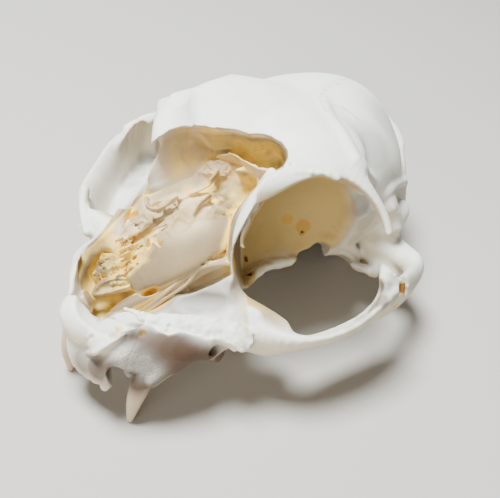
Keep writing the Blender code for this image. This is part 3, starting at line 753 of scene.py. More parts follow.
scrolls.add(Rough(nose_limb([(245, 272, 2.3, 0.5, 0.35), (237, 273, 2.3, 0.9, 0.35),
    (231, 277, 2.6, 0.4, 0.3)], down), 0.7, 0.2, 5), 0.2)
scrolls.add(Crumpled(nose_limb([(122, 262, 4.6, 0.7, 0.4), (138, 249, 3.6, 1.2, 0.45),
    (158, 235, 3, 1.7, 0.5), (178, 223, 2.8, 2, 0.55), (198, 215, 3.1, 1.7, 0.5),
    (216, 213, 3.8, 1, 0.4)], across), 2, 0.28, 33), 0.5)
scrolls.add(Crumpled(nose_limb([(104, 252, 5.2, 0.8, 0.5), (122, 236, 4, 1.3, 0.5),
    (142, 221, 3.2, 1.5, 0.5), (158, 210, 3, 1.4, 0.5), (178, 198, 3.6, 1, 0.4)], across), 1.4, 0.4, 31),
    0.4)
for spots, blend in (
    ([(168, 203, 3.8, 1.2, 0.35), (188, 193, 4, 1.3, 0.35), (208, 184, 4.6, 1.1, 0.3),
        (218, 172, 5.2, 1, 0.3)], 0.4),
    ([(196, 214, 3.2, 1.4, 0.3), (200, 206, 3, 1.5, 0.3), (210, 197, 3.8, 1.2, 0.3)], 0.3),
    ([(147, 199, 3.8, 0.8, 0.35), (148, 206, 3.2, 0.8, 0.3), (156, 210, 3, 0.8, 0.3),
        (166, 206, 3.2, 0.8, 0.3), (176, 198, 3.8, 0.8, 0.3)], 0.25),
):
    scrolls.add(nose_limb(spots, break_out), blend)
for ball, size, amount, seed, blend in (
    ((114, 262, 5.6, (134, 238), (4.4, 2.5, 2.3)), 1.3, 0.75, 21, 0.3),
    ((118, 279, 5.8, (130, 268), (2.8, 2.2, 2)), 1.1, 0.65, 26, 0.3),
    ((213, 213, 5.4, (236, 224), (3.6, 1.5, 2)), 1.1, 0.6, 22, 0.3),
    ((213, 172, 7.6, (236, 164), (4, 2, 2.2)), 1.3, 0.5, 23, 0.8),
    ((222, 204, 6.6, (240, 215), (3.2, 1.2, 1.8)), 1.2, 0.5, 28, 0.8),
):
    scrolls.add(Crumpled(nose_ball(*ball), size, amount, seed), blend)
chance = np.random.default_rng(8)
for row in range(11):
    x = 102 + row * 2.1 + chance.uniform(-3, 3)
    y = 250 + row * 3.1 + chance.uniform(-3, 3)
    run = chance.uniform(20, 38)
    rise = run * chance.uniform(0.4, 1.0)
    deep = chance.uniform(3.9, 5.2)
    bend = chance.uniform(-3, 3)
    scrolls.add(Crumpled(nose_limb([(x, y, deep + 0.9, 0.7, 0.12),
        (x + run * 0.35, y - rise * 0.3 + bend, deep, 1.3, 0.17),
        (x + run * 0.7, y - rise * 0.7 + bend, deep - 0.5, 1.3, 0.17),
        (x + run, y - rise, deep - 0.2, 0.8, 0.12)], break_out), 1.7, 0.3, 50 + row), 0.12)
scrolls.add(nose_limb([(130, 283, 5.8, 1.4, 1.3), (116, 284, 4.9, 1.5, 1.2), (103, 288, 4.3, 1.35, 1),
    (92, 295, 4.1, 0.45, 0.45)], across), 0.3)
scrolls.cut(nose_limb([(127, 283, 4.3, 0.6, 0.8), (115, 284.5, 3.6, 1, 1.1), (104, 288, 3.2, 0.95, 1),
    (96, 292.5, 3.4, 0.35, 0.5)], across), 0.12)
scrolls.add(Crumpled(nose_ball(115, 284, 5.2, (128, 282), (2.2, 0.9, 1.1)), 0.8, 0.4, 27), 0.2)
for groove in (
    [(115, 251, 4), (126, 241, 3.4), (140, 234, 3), (157, 224, 2.8), (170, 210, 3.2)],
    [(121, 247, 4), (138, 240, 3.3), (150, 234, 3), (167, 227, 2.9)],
    [(149, 235, 3), (161, 246, 3)],
    [(153, 235.5, 2.9), (149, 246, 3.2)],
    [(166, 201, 3.4), (190, 191, 3.6), (208, 183, 4.2)],
    [(203, 263, 4.3), (214, 257, 4.2), (233, 250, 4.4)],
    [(228, 248, 4.2), (236, 245, 4.4)],
):
    scrolls.cut(Rough(nose_limb([(*spot, 0.4, 0.9) for spot in groove], across), 0.8, 0.25, 9), 0.15)
for ball, blend in (
    ((131, 214.5, 3.2, (139, 211), (1.3, 0.6, 2)), 0.2),
    ((150, 291.5, 4.4, (158, 288), (1.7, 0.6, 1.8)), 0.3),
    ((156, 204, 3.4, (166, 200), (1.2, 0.45, 1.6)), 0.2),
    ((239, 255.5, 4.4, (244, 251), (0.75, 0.5, 3)), 0.1),
    ((227, 206, 4, (228, 205), (0.22, 0.22, 3)), 0.1),
):
    scrolls.cut(nose_ball(*ball), blend)


class Laid:
    """A shape worked out once for all points of a grid, and looked up there afterwards."""

    def __init__(self, shape, low, high, cell):
        self.origin, self.cell = low, cell
        self.values = grid_of(shape, low, high, cell)

    def __call__(self, p):
        at = np.rint((p - self.origin.astype(F32)) / F32(self.cell)).astype(np.int32)
        last = np.array(self.values.shape) - 1
        here = np.clip(at, 0, last)
        found = self.values[here[..., 0], here[..., 1], here[..., 2]]
        return np.where((here == at).all(-1), found, F32(FAR))

    def points(self):
        lines = [self.origin[k] + np.arange(0, self.values.shape[k], 2) * self.cell for k in range(3)]
        return grid_points(lines).astype(F32)

    def start(self, low):
        """The grid's own corner at or below low."""
        return self.origin + np.floor((low - self.origin) / self.cell) * self.cell


fine_form = Laid(form, np.array([-29.0, -1.5, -5]), np.array([29.0, 57, 32]), FINE_CELL)
smooth_form = Laid(form, LOW, HIGH, SMOOTH_CELL)


SCROLL_WALL = 0.3
SCROLL_FLOOR = 12


def in_hollow(p):
    """The scrolls, as far as they go in the hollow of the nose, let a little way into its walls."""
    wall = np.maximum(-fine_form(p) - F32(SCROLL_WALL), Opening(SCROLL_FLOOR)(p) - F32(2))
    return wall if wall.min() > 1 else np.maximum(Clear(scrolls, SCROLL_WALL)(p), wall)


scroll_low = fine_form.start(np.array([-14.0, 3, 0]))
scroll_laid = Laid(in_hollow, scroll_low, np.array([17.0, 42, 32]), FINE_CELL)


# How much room there is round each point: where the bone is shut in, painted shade and glow are laid on.
ROOM_STEP = 2
ROOM_CELL = SMOOTH_CELL * ROOM_STEP
room = smooth_form.values[::ROOM_STEP, ::ROOM_STEP, ::ROOM_STEP].copy()
room_lines = [(LOW[k] + np.arange(room.shape[k]) * ROOM_CELL).astype(F32) for k in range(3)]
room_points = grid_points(room_lines)
room = np.minimum(room, scroll_laid(room_points))
nose_room = np.minimum(fine_form.values[::2, ::2, ::2], scroll_laid(fine_form.points()))


def openness(points, normals, reach, grid, origin, step):
    """How freely each point looks out along its normal, from 0 to 1."""
    total = 0
    for distance in reach:
        q = (points + normals * distance - origin) / step
        q = np.clip(q, 0, np.array(grid.shape) - 1.001)
        cell = q.astype(int)
        part = q - cell
        found = 0
        for corner in np.ndindex(2, 2, 2):
            weight = np.where(corner, part, 1 - part).prod(-1)
            found = found + weight * grid[tuple((cell + corner).T)]
        total = total + np.clip(found / distance, 0, 1)
    return total / len(reach)


# How the bone is tinted, mostly with painted light and shade. Deep in the nose and sinus the yellow ochre is
# painted light, the glow of light through the thin bone, and the deepest pockets and holes are painted darker
# as shade; the open inside surfaces are painted a dark tan as shade. The orbits are painted tan as shade,
# surfaces that don't face up are painted sandier and browner as shade, the rest is bleached white, and round
# the teeth it is brown, partly its own colour and partly painted shade. A spot is where it shows in the
# photograph, its depth under the break if it has one, its radius in millimetres and its strength.
def placed(spots, place=seen_at, spans=2):
    return [(place(*spot[:spans]), *spot[spans:]) for spot in spots]


# Painted light: the glow of light through the thin bone of the sinus and nose pockets.
through_glow_spots = placed([(264, 157, 6.5, 4.4, 0.7), (245, 150, 6, 4.2, 0.62), (215, 140, 4.5, 4.2, 0.55),
    (182, 138, 3.5, 3.4, 0.5), (252, 186, 6.5, 3, 0.75), (232, 192, 6.5, 3.6, 0.4), (88, 255, 4, 3.2, 0.3),
    (84, 282, 4, 3.4, 0.36), (105, 302, 8, 5.5, 0.66), (114, 262, 6.8, 3.8, 0.4), (150, 291, 6, 1.8, 0.75),
    (131, 214, 4.7, 1.6, 0.6), (168, 205, 5, 1.6, 0.4), (205, 213, 6, 2.6, 0.5), (226, 219, 6, 2, 0.75),
    (150, 268, 2.6, 3.4, 0.26), (166, 256, 2.6, 3.6, 0.26), (186, 246, 2.6, 3.8, 0.26),
    (206, 236, 2.8, 3.6, 0.26), (224, 236, 3.4, 3.4, 0.28), (136, 290, 4.6, 2.6, 0.24),
    (130, 302, 4, 2.4, 0.2), (232, 262, 7.5, 2.6, 0.7), (140, 238, 4.8, 2.4, 0.5),
    (118, 248, 5.5, 2.2, 0.5), (190, 192, 5.4, 1.6, 0.55), (104, 290, 5.5, 2, 0.55),
    (239.5, 255.5, 5.5, 1.3, 1.1), (229, 267, 6.5, 1.2, 1), (180, 155, 5, 5.5, 0.44),
    (225, 195, 5, 4, 0.42), (240, 182, 5, 5.5, 0.5)], in_nose, 3)
pale_spots = placed([(178, 156, 4, 5.5, 0.6), (205, 303, 4, 6, 0.95), (210, 285, 8, 4, 0.8),
    (165, 323, 0, 4, 1), (215, 329, 2, 5, 1), (180, 218, 2.5, 3.2, 0.7), (168, 178, 3.6, 3.4, 0.6),
    (190, 180, 3.6, 3, 0.5), (150, 212, 2.5, 2.6, 0.6), (128, 232, 3.4, 2.4, 0.6), (255, 200, 0.5, 2.6, 1),
    (245, 275, 2, 2.6, 0.9), (165, 222, 2.6, 2.6, 0.7), (195, 214, 2.6, 2.6, 0.8),
    (255, 170, 2.5, 2.2, 0.7), (232, 166, 6, 2.4, 0.5)], in_nose, 3)
# Painted shade on the side of the muzzle under the shelf (over some brown of its own), the outer face of the
# arch, the side of the braincase and the strip beside the right plate; the coronal suture's real dots are
# added below.
shade_and_suture_spots = placed([(104, 359, 2.8, 0.9), (116, 353, 3, 0.93), (128, 345, 2.8, 0.93),
    (137, 339, 2.6, 0.94), (147, 344, 3, 0.95), (160, 348, 3.4, 0.96), (173, 349, 3.4, 0.97),
    (186, 350, 3.4, 0.98), (198, 353, 3.2, 0.97), (210, 355, 3, 0.96), (222, 358, 2.8, 0.95),
    (166, 363, 3.6, 0.95), (180, 366, 3.6, 0.96), (152, 377, 3, 0.94), (160, 372, 3, 0.95),
    (132, 358, 3.2, 0.93), (118, 367, 3, 0.92), (98, 368, 3, 0.88), (84, 361, 2.8, 0.75),
    (138, 378, 3, 0.92), (142, 368, 3.2, 0.93), (128, 368, 3, 0.92), (146, 384, 2.4, 0.93),
    (100, 350, 2.2, 0.84), (110, 344, 2, 0.84), (232, 352, 2.2, 0.8), (380, 300, 1.8, 0.75),
    (383, 289, 1.5, 0.65), (372, 308, 1.5, 0.65), (360, 318, 1.2, 0.5), (338, 339, 1.2, 0.2),
    (352, 331, 1.4, 0.3), (366, 319, 1.6, 0.35), (394, 300, 1.8, 0.35), (110, 170, 5, 0.2),
    (100, 200, 5, 0.22), (120, 150, 4, 0.2), (130, 182, 2.6, 0.4), (139, 172, 2.4, 0.44),
    (146, 160, 2.2, 0.44), (388, 256, 1.2, 0.4), (386, 262, 1, 0.4), (375, 150, 5.5, 0.36),
    (392, 190, 5.5, 0.42), (385, 120, 5, 0.3), (360, 205, 3, 0.4), (366, 222, 3, 0.4),
    (356, 238, 2.6, 0.35), (372, 238, 2.2, 0.35), (410, 270, 4, 0.3)])
bare_spots = placed([(127, 311, 1.2), (135, 314, 1.5), (147, 320, 1.7), (158, 324, 1.9), (170, 325, 1.9),
    (183, 323, 1.7), (196, 327, 1.8), (209, 330, 1.9), (222, 334, 2), (238, 340, 2.4), (96, 343, 2.2),
    (108, 338, 2), (118, 329, 1.4), (80, 338, 2.4)])
shade_spots = placed([(93, 249, 2.6, 0.5), (89, 262, 2, 0.4), (180, 303, 3, 0.5), (196, 301, 3.4, 0.58),
    (214, 298, 3.2, 0.58), (230, 293, 2.6, 0.5)])
orbit_floor = placed([(253, 285, 2.2), (261, 276, 2.4), (272, 269, 2.6), (286, 264, 2.4)])
pitted_spots = placed([(128, 362, 2.2, 0.9), (138, 366, 2.4, 1), (148, 370, 2.2, 0.9), (235, 350, 2, 0.5),
    (272, 158, 1.4, 0.5)])
# Painted glow through thin spots of the orbit's wall and round small openings, and painted shade, dark,
# inside the openings.
glow_and_hole_shade_spots = placed([(303, 226, 1.7, 0.8), (287, 219, 1.4, 0.74), (143, 333, 0.6, 0.7),
    (402, 288, 1.2, 0.95), (395, 306, 0.7, 0.6), (302, 232, 0.5, 1), (246, 259, 0.8, 1), (249, 274, 0.7, 1),
    (118, 330, 0.8, 0.4)])
CORONAL = [(345, 82), (337, 84), (329, 88), (323, 91), (320.5, 97), (322, 103), (326, 111), (334, 105),
    (343, 108), (352, 114), (360, 122), (364, 133), (365, 145)]
steps = curve_through(CORONAL, 5)
shade_and_suture_spots += [(seen_at(x, y), 0.22, chance.uniform(0.1, 0.5)) for x, y in steps]


def close_to(points, centre, radius):
    """1 at a spot, fading out softly past its radius."""
    return np.minimum(1, 1.5 * np.exp(-1.1 * np.square(points - centre).sum(1) / radius ** 2))


def strongest(points, spots):
    most = np.zeros(len(points))
    for centre, radius, strength in spots:
        most = np.maximum(most, strength * close_to(points, centre, radius))
    return most


def kept(strength, most=1):
    return np.clip(strength, 0, most)


NOSE_REACHES = (0.6, 1.2, 2.4, 4.0)
SKULL_REACHES = (3.0, 6.0, 9.0)
NOSE_FLOOR = 14
TAN_SHADE_MOST = 0.95
ORBIT_HOLLOW_SHADE = 0.5
ORBIT_TAN_SHADE = 0.56
SIDE_SHADE = 0.19
PATCHES = ((2.4, 71, 0.22), (0.9, 72, 0.14))


def tints(points, normals, lead):
    """How much painted glow and shade, painted tan shade, stain with painted shade, and pitting the bone has
    at each point, as if it lay lead deeper.
    """
    depth = (BREAK[0] - points) @ break_out + lead
    inside = kept(-Opening(NOSE_FLOOR)(points.astype(F32)) * 2 + 0.3) * kept(normals @ lens[2] * 2 + 0.6)
    outside = 1 - inside
    shut = 1 - openness(points, normals, NOSE_REACHES, nose_room, fine_form.origin, FINE_CELL * 2)
    # Painted glow and shade: the deeper under the break and the more shut in, the yellower and darker.
    hollow = (kept((depth - 0.8) / 2) * 0.26 + kept(shut * 1.6 - 0.3) * 0.5) * inside
    # Painted shade: a dark tan on the open inside surfaces under the break.
    tan = kept(1.75 - 2.3 * shut, TAN_SHADE_MOST) * kept((depth - 0.3) / 0.9) * inside
    for centre, radius, strength in pale_spots:
        here = 1 - strength * close_to(points, centre, radius)
        hollow, tan = hollow * here, tan * here
    patchy = sum((amount * ripple(points.astype(F32), size, seed) for size, seed, amount in PATCHES), 0.9)
    # Painted glow through thin bone in the pockets, where the painted tan shade gives way.
    for centre, radius, strength in through_glow_spots:
        spot = strength * close_to(points, centre, radius) * patchy
        hollow = np.maximum(hollow, spot * kept(inside * 3) * kept(depth))
        tan = tan * (1 - kept(spot * 2.5 - 0.9))
    # Painted shade in the orbits: tan and sand on the walls that face the rim, less on the orbit's floor.
    folded = folded_over(points)
    toward = np.array(ORBIT_RIM) - folded
    folded_normals = normals * np.where(points[:, :1] < 0, (-1, 1, 1), 1)
    facing = (toward * folded_normals).sum(1) / np.linalg.norm(toward, axis=1)
    orbit_shade = kept(1 - np.maximum(orbit(0.2)(folded.astype(F32)), 0) * 0.5) * outside * kept(facing * 3)
    orbit_shade = orbit_shade * np.clip((24 - folded[:, 0]) / 8, 0.15, 1)
    for centre, radius in orbit_floor:
        orbit_shade = orbit_shade * (1 - 0.8 * close_to(points, centre, radius))
    tan = np.maximum(tan, orbit_shade * ORBIT_TAN_SHADE)
    hollow = np.maximum(hollow, orbit_shade * ORBIT_HOLLOW_SHADE)
    # Painted shade: surfaces that don't face up are sandier.
    hollow = np.maximum(hollow, kept(0.8 - normals[:, 2]) * SIDE_SHADE * outside)
    # Painted shade: brown on surfaces facing down and where the skull is shut in, then the brown spots and
    # the shade spots; the bare broken edges are kept clear.
    far_shut = 1 - openness(points, normals, SKULL_REACHES, room, LOW, ROOM_CELL)
    stain_and_shade = kept(0.2 - normals[:, 2]) * 0.3 + far_shut * 0.2 * outside
    stain_and_shade = np.maximum(stain_and_shade, strongest(points, shade_and_suture_spots) * outside)
    stain_and_shade = np.maximum(stain_and_shade, strongest(points, shade_spots))
    for centre, radius in bare_spots:
        stain_and_shade = stain_and_shade * (1 - 0.95 * close_to(points, centre, radius))
    # Painted glow round the small openings, and painted shade darkest inside them.
    for centre, radius, strength in glow_and_hole_shade_spots:
        away = np.linalg.norm(points - centre, axis=1) / radius
        hollow = np.maximum(hollow, strength * kept(3 - 2.5 * away))
    return {"hollow": hollow, "tan": tan, "stain_and_shade": kept(stain_and_shade), "pitted": strongest(points, pitted_spots)}


FLOOR_GAP = 0.00002


def make_piece(name, points, faces, material, slot, node, lead=0):
    """A mesh in the frame that the skull lies in, with its tints, mostly painted light and shade, at its
    corners.
    """
    mesh = bpy.data.meshes.new(name)
    mesh.vertices.add(len(points))
    resting = np.maximum(at_rest(points), (-1, -1, FLOOR_GAP))
    mesh.vertices.foreach_set("co", resting.astype(F32).ravel())
    mesh.loops.add(faces.size)
    mesh.loops.foreach_set("vertex_index", faces.astype(np.int32).ravel())
    mesh.polygons.add(len(faces))
    mesh.polygons.foreach_set("loop_start", np.arange(0, faces.size, 4, dtype=np.int32))
    mesh.polygons.foreach_set("loop_total", np.full(len(faces), 4, np.int32))
    mesh.polygons.foreach_set("use_smooth", np.ones(len(faces), bool))
    mesh.update(calc_edges=True)
    normals = np.empty(len(points) * 3, F32)
    mesh.vertices.foreach_get("normal", normals)
    normals = normals.reshape(-1, 3) @ np.array(rest_turn)
    for key, strength in tints(points, normals, lead).items():
        mesh.attributes.new(key, "FLOAT", "POINT").data.foreach_set("value", strength.astype(F32))
    mesh.materials.append(material)
    piece = bpy.data.objects.new(name, mesh)
    bpy.context.scene.collection.objects.link(piece)
    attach(piece, "root")
    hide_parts(node)
    return piece


class Value:
    """A socket that takes part in sums."""

    def __init__(self, paint, socket):
        self.paint = paint
        self.socket = socket

    def sum(self, operation, other, turned=False):
        pair = (other, self) if turned else (self, other)
        return self.paint.node("ShaderNodeMath", {"operation": operation}, {0: pair[0], 1: pair[1]})

    def __add__(self, other): return self.sum("ADD", other)
    __radd__ = __add__
    def __sub__(self, other): return self.sum("SUBTRACT", other)
    def __rsub__(self, other): return self.sum("SUBTRACT", other, True)
    def __mul__(self, other): return self.sum("MULTIPLY", other)
    __rmul__ = __mul__


class Paint:
    """A material's nodes."""

    def __init__(self, name, constants):
        self.material = bpy.data.materials.new(name)
        self.material.use_nodes = True
        self.nodes = self.material.node_tree.nodes
        self.links = self.material.node_tree.links
        self.shader = self.nodes["Principled BSDF"]
        for key, value in constants.items():
            self.shader.inputs[key].default_value = value

    def node(self, kind, settings, inputs, output=0):
        made = self.nodes.new(kind)
        for key, value in settings.items():
            if key == "stops":
                ramp = made.color_ramp.elements
                for place, colour in value[len(ramp):]:
                    ramp.new(place)
                for stop, (place, colour) in zip(ramp, value):
                    stop.position = place
                    stop.color = colour
            else:
                setattr(made, key, value)
        for key, value in inputs.items():
            if isinstance(value, Value):
                self.links.new(value.socket, made.inputs[key])
            else:
                made.inputs[key].default_value = value
        return Value(self, made.outputs[output])

    def feed(self, key, value):
        self.links.new(value.socket, self.shader.inputs[key])

    def mix(self, amount, a, b):
        settings = {"data_type": "RGBA", "blend_type": "MIX"}
        return self.node("ShaderNodeMix", settings, {0: amount, 6: a, 7: b}, 2)

    def ramp(self, value, *stops):
        stops = [(place, (level, level, level, 1)) for place, level in stops]
        return self.node("ShaderNodeValToRGB", {"stops": stops}, {0: value})


# Dry bone: white and mottled with cream, with fine grain and open pores, and browner or yellower by its
# tints, which are mostly painted shade and the painted glow of light through thin bone.
WHITE_BONE = (0.82, 0.84, 0.79, 1)
CREAM_BONE = (0.74, 0.68, 0.56, 1)
# BROWN, TAN, SAND, AMBER and DARK are painted shade and OCHRE is painted light, the glow through thin bone;
# BROWN also darkens the real pores, pits and suture dots.
BROWN_STAIN_AND_SHADE = (0.065, 0.027, 0.011, 1)
TAN_SHADE_BONE = (0.125, 0.078, 0.03, 1)
SAND_SHADE_BONE = (0.76, 0.6, 0.37, 1)
OCHRE_GLOW_BONE = (0.92, 0.64, 0.12, 1)
AMBER_SHADE_BONE = (0.42, 0.19, 0.03, 1)
DARK_SHADE_BONE = (0.07, 0.02, 0.01, 1)
MOTTLE_SCALE = 180.0
GRAIN_SCALE = 1500.0
PORE_SCALE = 900.0
PIT_SCALE = 2700.0
GRAIN_DEPTH = 0.0004


def bone_paint(name, white, cream, roughness):
    paint = Paint(name, {"Roughness": roughness, "Specular IOR Level": 0.35, "Subsurface Weight": 0.2,
        "Subsurface Radius": (1.0, 0.55, 0.3), "Subsurface Scale": 0.0012})
    place = paint.node("ShaderNodeTexCoord", {}, {}, "Object")
    hollow, tan, stain_and_shade, pitted = (paint.node("ShaderNodeAttribute", {"attribute_name": key}, {}, "Fac")
                                  for key in ("hollow", "tan", "stain_and_shade", "pitted"))
    cloud = paint.node("ShaderNodeTexNoise", {}, {"Vector": place, "Scale": MOTTLE_SCALE, "Detail": 5.0})
    fine = paint.node("ShaderNodeTexNoise", {}, {"Vector": place, "Scale": GRAIN_SCALE, "Detail": 4.0})
    pores = paint.node("ShaderNodeTexVoronoi", {}, {"Vector": place, "Scale": PORE_SCALE})
    pore = paint.ramp(pores, (0.05, 1), (0.16, 0))
    pits = paint.node("ShaderNodeTexVoronoi", {}, {"Vector": place, "Scale": PIT_SCALE})
    pit = paint.ramp(pits, (0.2, 1), (0.5, 0)) * pitted
    mottle = paint.ramp(cloud, (0.35, 0), (0.75, 1))
    colour = paint.mix(mottle * 0.35, white, cream)
    # Layers of painted light and shade: sand, amber and dark are painted shade in hollows, ochre is painted
    # glow, tan and brown are painted shade, and brown also marks the real suture dots, pores and pits.
    for amount, tint in (
        (paint.ramp(hollow, (0.03, 0), (0.3, 1)), SAND_SHADE_BONE),
        (paint.ramp(hollow, (0.3, 0), (0.62, 1)), OCHRE_GLOW_BONE),
        (tan * (0.88 + mottle * 0.12), TAN_SHADE_BONE),
        (stain_and_shade, BROWN_STAIN_AND_SHADE),
        (paint.ramp(hollow, (0.68, 0), (0.88, 1)), AMBER_SHADE_BONE),
        (paint.ramp(hollow, (0.9, 0), (1.0, 1)), DARK_SHADE_BONE),
        (pore * 0.12, BROWN_STAIN_AND_SHADE),
        (pitted * 0.45, WHITE_BONE),
        (pit * 0.35, BROWN_STAIN_AND_SHADE),
    ):
        colour = paint.mix(amount, colour, tint)
    paint.feed("Base Color", colour)
    height = cloud * 0.5 + fine * 0.25 - pore * 0.3 - pit * 0.8
    bump = paint.node("ShaderNodeBump", {}, {"Height": height, "Strength": 0.35, "Distance": GRAIN_DEPTH})
    paint.feed("Normal", bump)
    return paint.material


SCROLL_LEAD = 1.2
# The scrolls' own cream is darkened to tan as painted shade for the inside of the nose.
scroll_bone = bone_paint("scroll_bone", (0.48, 0.35, 0.17, 1), (0.4, 0.26, 0.11, 1), 0.6)
make_piece("nose_scrolls", *largest(*skin_of(scroll_laid.values, scroll_low, FINE_CELL)), scroll_bone,
    "ethmoid_bone", "ethmoid", SCROLL_LEAD)


# The bones' borders are sutures, where one bone meets the next in a fine wandering line. Each bone takes what
# the ones before it leave of the form, and overlaps them a little, inside its own faintly raised surface.
LAP = 0.4
PROUD = 0.02
MARGIN = 1.5
SHARE_REACH = 1.2
WANDER = ((1.6, 11, 0.35), (0.7, 12, 0.25))
MIDLINE = ((0, 0, 0), (-1, 0, 0))
bone = bone_paint("dry_bone", WHITE_BONE, CREAM_BONE, 0.62)
taken = []
room_inside = room_points[room < 1]


def territory(borders, side, shape=None):
    """The side of its borders that a bone has, each border a point and a normal out of the bone."""
    planes = [Slab((side * p[0], *p[1:]), (side * n[0], *n[1:])) for p, n in borders]

    def within(p):
        d = shape(p) if shape else np.full(p.shape[:-1], -FAR, F32)
        for plane in planes:
            d = np.maximum(d, plane(p))
        return d

    return within


def left_by(before, p):
    left = np.full(p.shape[:-1], -FAR, F32)
    for other in before:
        left = np.maximum(left, -other(p))
    return left


def share_of(laid, own, before, proud):
    """What one bone has of the form."""

    def share(p):
        d = laid(p) + F32(proud)
        if d.min() > SHARE_REACH:
            return d
        mine, left = own(p), left_by(before, p)
        edge = np.maximum(mine, left)
        if edge.min() > 2:
            return np.maximum(d, edge)
        if np.abs(edge).min() < 2.5:
            wander = sum(ripple(p, size, seed) * F32(amount) for size, seed, amount in WANDER)
            mine, left = mine + wander, left - wander
        return np.maximum(d, np.maximum(mine, left) - F32(LAP))

    return share


def make_bone(node, borders, side=1, laid=smooth_form, slot="bone", shape=None):
    own = territory(borders, side, shape)
    share = share_of(laid, own, list(taken), PROUD * (len(taken) % 3))
    rough = np.maximum(own(room_inside), left_by(taken, room_inside))
    mine = room_inside[rough < MARGIN]
    low = laid.start(mine.min(0) - MARGIN)
    values = grid_of(share, low, mine.max(0) + MARGIN, laid.cell)
    taken.append(own)
    return make_piece(node + "_bone", *largest(*skin_of(values, low, laid.cell)), bone, slot, node)


# The incisive bones, the front tip of the snout. They are of dry bone like the rest, held the six upper
# incisors, and are grown to the maxillae along a suture on each side.
make_bone("incisive", [((0, 6.4, 0), (0, 1, -0.35)), ((0, 0, 14), (0, 0, 1)), ((6.9, 5, 0), (1, 0.25, 0)),
    ((-6.9, 5, 0), (-1, 0.25, 0))], laid=fine_form)

# The jugals, the front halves of the cheek arches. Each is a thin bent plate of bone, fixed to the maxilla in
# front and lapped under the temporal behind. The right one reaches a little further back.
JUGAL = [((19.8, 22.5, 3), (-0.9, -0.4, 0)), ((31, 49.5, 4), (0, 0.8, 0.6)), ((17.5, 0, 0), (-1, 0, 0)),
    ((0, 0, 18), (0, 0, 1))]
make_bone("jugal_left", JUGAL, 1)
make_bone("jugal_right", [JUGAL[0], ((31, 49.5, 4), (0, 0.97, 0.2)), *JUGAL[2:]], -1)

# The bullae, the smooth hollow shells over the middle ears. Each is an egg of thin bone grown to the
# underside of the temporal, and the skull rests on the two of them.
for side, label in ((1, "left"), (-1, "right")):
    x, y, z = BULLA_CENTRE
    make_bone("bulla_" + label, [], side, shape=Ball((side * x, y, z), [r + 0.8
        for r in BULLA_RADII], turn=(0, 0, side * 12)))

# The occipital, the bone of the back of the head. It has the crest that holds the neck's muscles and,
# beside the opening for the spine, the two knobs that the neck turns on.
make_bone("occipital", [((0, 75.2, 16), (0, -1, 0.28))])

# The temporals, the sides of the braincase. Each has the ear's opening and the socket of the lower jaw, and
# sends the back half of the cheek arch forward to the jugal.
TEMPORAL = [((12.8, 0, 0), (-1, 0, 0)), ((20, 60, 14), (0.3, 0.1, 1)), ((17, 47.5, 5), (0.1, -1, 0.1)),
    ((0, 72.5, 6), (0, 1, 0.15))]
make_bone("temporal_left", TEMPORAL, 1)
make_bone("temporal_right", TEMPORAL, -1)

# The parietals, the roof of the braincase. They are two thin domed plates that meet along the midline, and
# are grown to the frontals along the dotted suture.
PARIETAL = [MIDLINE, ((0, 55.5, 30), (-0.3, -1, 0.05)), ((0, 60, 7.5), (0, 0, -1))]
make_bone("parietal_left", PARIETAL, 1)
make_bone("parietal_right", PARIETAL, -1)

# The palatine bones, the back of the hard palate and the walls of the passage behind it. They are one thin
# piece here, grown to the maxillae in front and to the sphenoid behind.
make_bone("palatine", [((0, 44.5, 3), (0, 1, 0.3)), ((0, 26, 0), (0, -1, -0.1)), ((8.8, 0, 0),
    (1, 0, 0.15)), ((-8.8, 0, 0), (-1, 0, 0.15)), ((0, 40, 10.5), (0, -0.08, 1))], slot="base_bone")

# The maxillae, the sides of the snout and the front of the palate. They hold the canines and held the cheek
# teeth, and the left one's upper wall is broken away.
MAXILLA = [MIDLINE, ((11, 25, 17), (0, 0.55, 0.83)), ((0, 38, 0), (0, 1, 0))]
make_bone("maxilla_left", MAXILLA, 1, fine_form)
make_bone("maxilla_right", MAXILLA, -1, fine_form)

# The frontals, the forehead, the brows and the inner walls of the orbits. The front of the forehead is broken
# open, so the sinus between its two layers of bone shows.
FRONTAL = [MIDLINE, ((0, 40, 10.5), (0, 0.08, -1))]
make_bone("frontal_left", FRONTAL, 1, fine_form)
make_bone("frontal_right", FRONTAL, -1, fine_form)

# The sphenoid, the base of the skull, and the core of the braincase with it. It is all that the other bones
# leave, and holds them together from within.
make_bone("sphenoid", [], slot="base_bone")


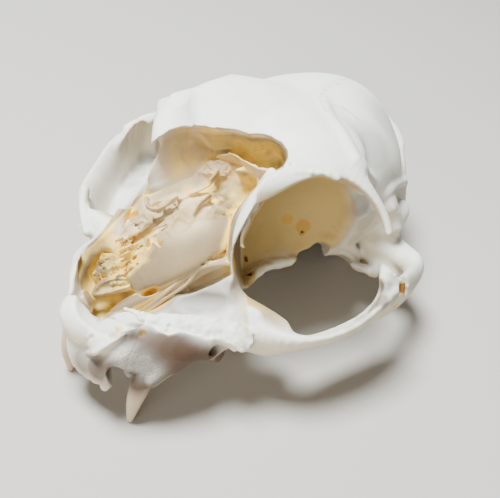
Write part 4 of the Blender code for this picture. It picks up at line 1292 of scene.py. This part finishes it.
# The canine teeth, the only whole teeth left. Each is a curved cone of dentine with a thin smooth coat of
# enamel, set deep in its socket in the maxilla.
CANINE_TIPS = {1: (8.25, 4.2, -11.2), -1: (-6.8, 4.8, -11.2)}
CANINE_ROOTS = {1: 8.7, -1: -7.4}
CANINE_ROOM = (8, 12, 19)
enamel = bone_paint("tooth_enamel", (0.42, 0.35, 0.29, 1), (0.34, 0.26, 0.2, 1), 0.3)
for side, label in ((1, "left"), (-1, "right")):
    x, y, z = CANINE_TIPS[side]
    root = CANINE_ROOTS[side]
    tooth = Clay(mirrored=False)
    tooth.add(Limb([(root, 8.2, 2.6, 2.0, 1.8), (root, 6.4, -1.2, 2.1, 1.8),
        (root + 0.45 * (x - root), 4.8, -6, 1.55, 1.35), (x, y, z, 0.6, 0.55)], (0, 1, 0.3)), 0.5)
    low = np.array([root - 4, 0, -12.5])
    values = grid_of(tooth, low, low + CANINE_ROOM, FINE_CELL)
    make_piece("canine_tooth_" + label, *skin_of(values, low, FINE_CELL), enamel, "tooth", "canine_"
        + label)


# The floor is a wide sheet of pale paper. The light is a soft lamp overhead and a wide weak one in front,
# in a dim warm room.
floor_mesh = bpy.data.meshes.new("floor")
floor_mesh.from_pydata([(-3, -3, 0), (3, -3, 0), (3, 3, 0), (-3, 3, 0)], [], [(0, 1, 2, 3)])
floor = bpy.data.objects.new("floor", floor_mesh)
bpy.context.scene.collection.objects.link(floor)
floor_paint = Paint("floor_paper", {"Base Color": (0.44, 0.42, 0.39, 1), "Roughness": 0.9})
floor_mesh.materials.append(floor_paint.material)


def lamp(name, place, aim, size, power, colour):
    data = bpy.data.lights.new(name, "AREA")
    data.shape = "DISK"
    data.size = size
    data.energy = power
    data.color = colour
    light = bpy.data.objects.new(name, data)
    light.location = place
    light.rotation_euler = (Vector(aim) - Vector(place)).to_track_quat("-Z", "Y").to_euler()
    bpy.context.scene.collection.objects.link(light)


lamp("overhead", (-0.1, -0.07, 0.49), (0, 0, 0.02), 0.2, 9.8, (0.96, 1.0, 0.99))
lamp("front", (0.12, -0.5, 0.16), (0, 0, 0.02), 0.4, 2.2, (1.0, 0.94, 0.86))
ROOM_COLOUR = (0.75, 0.66, 0.57, 1)
ROOM_LIGHT = 0.13
world = bpy.data.worlds.new("room")
world.use_nodes = True
world.node_tree.nodes["Background"].inputs["Color"].default_value = ROOM_COLOUR
world.node_tree.nodes["Background"].inputs["Strength"].default_value = ROOM_LIGHT
bpy.context.scene.world = world
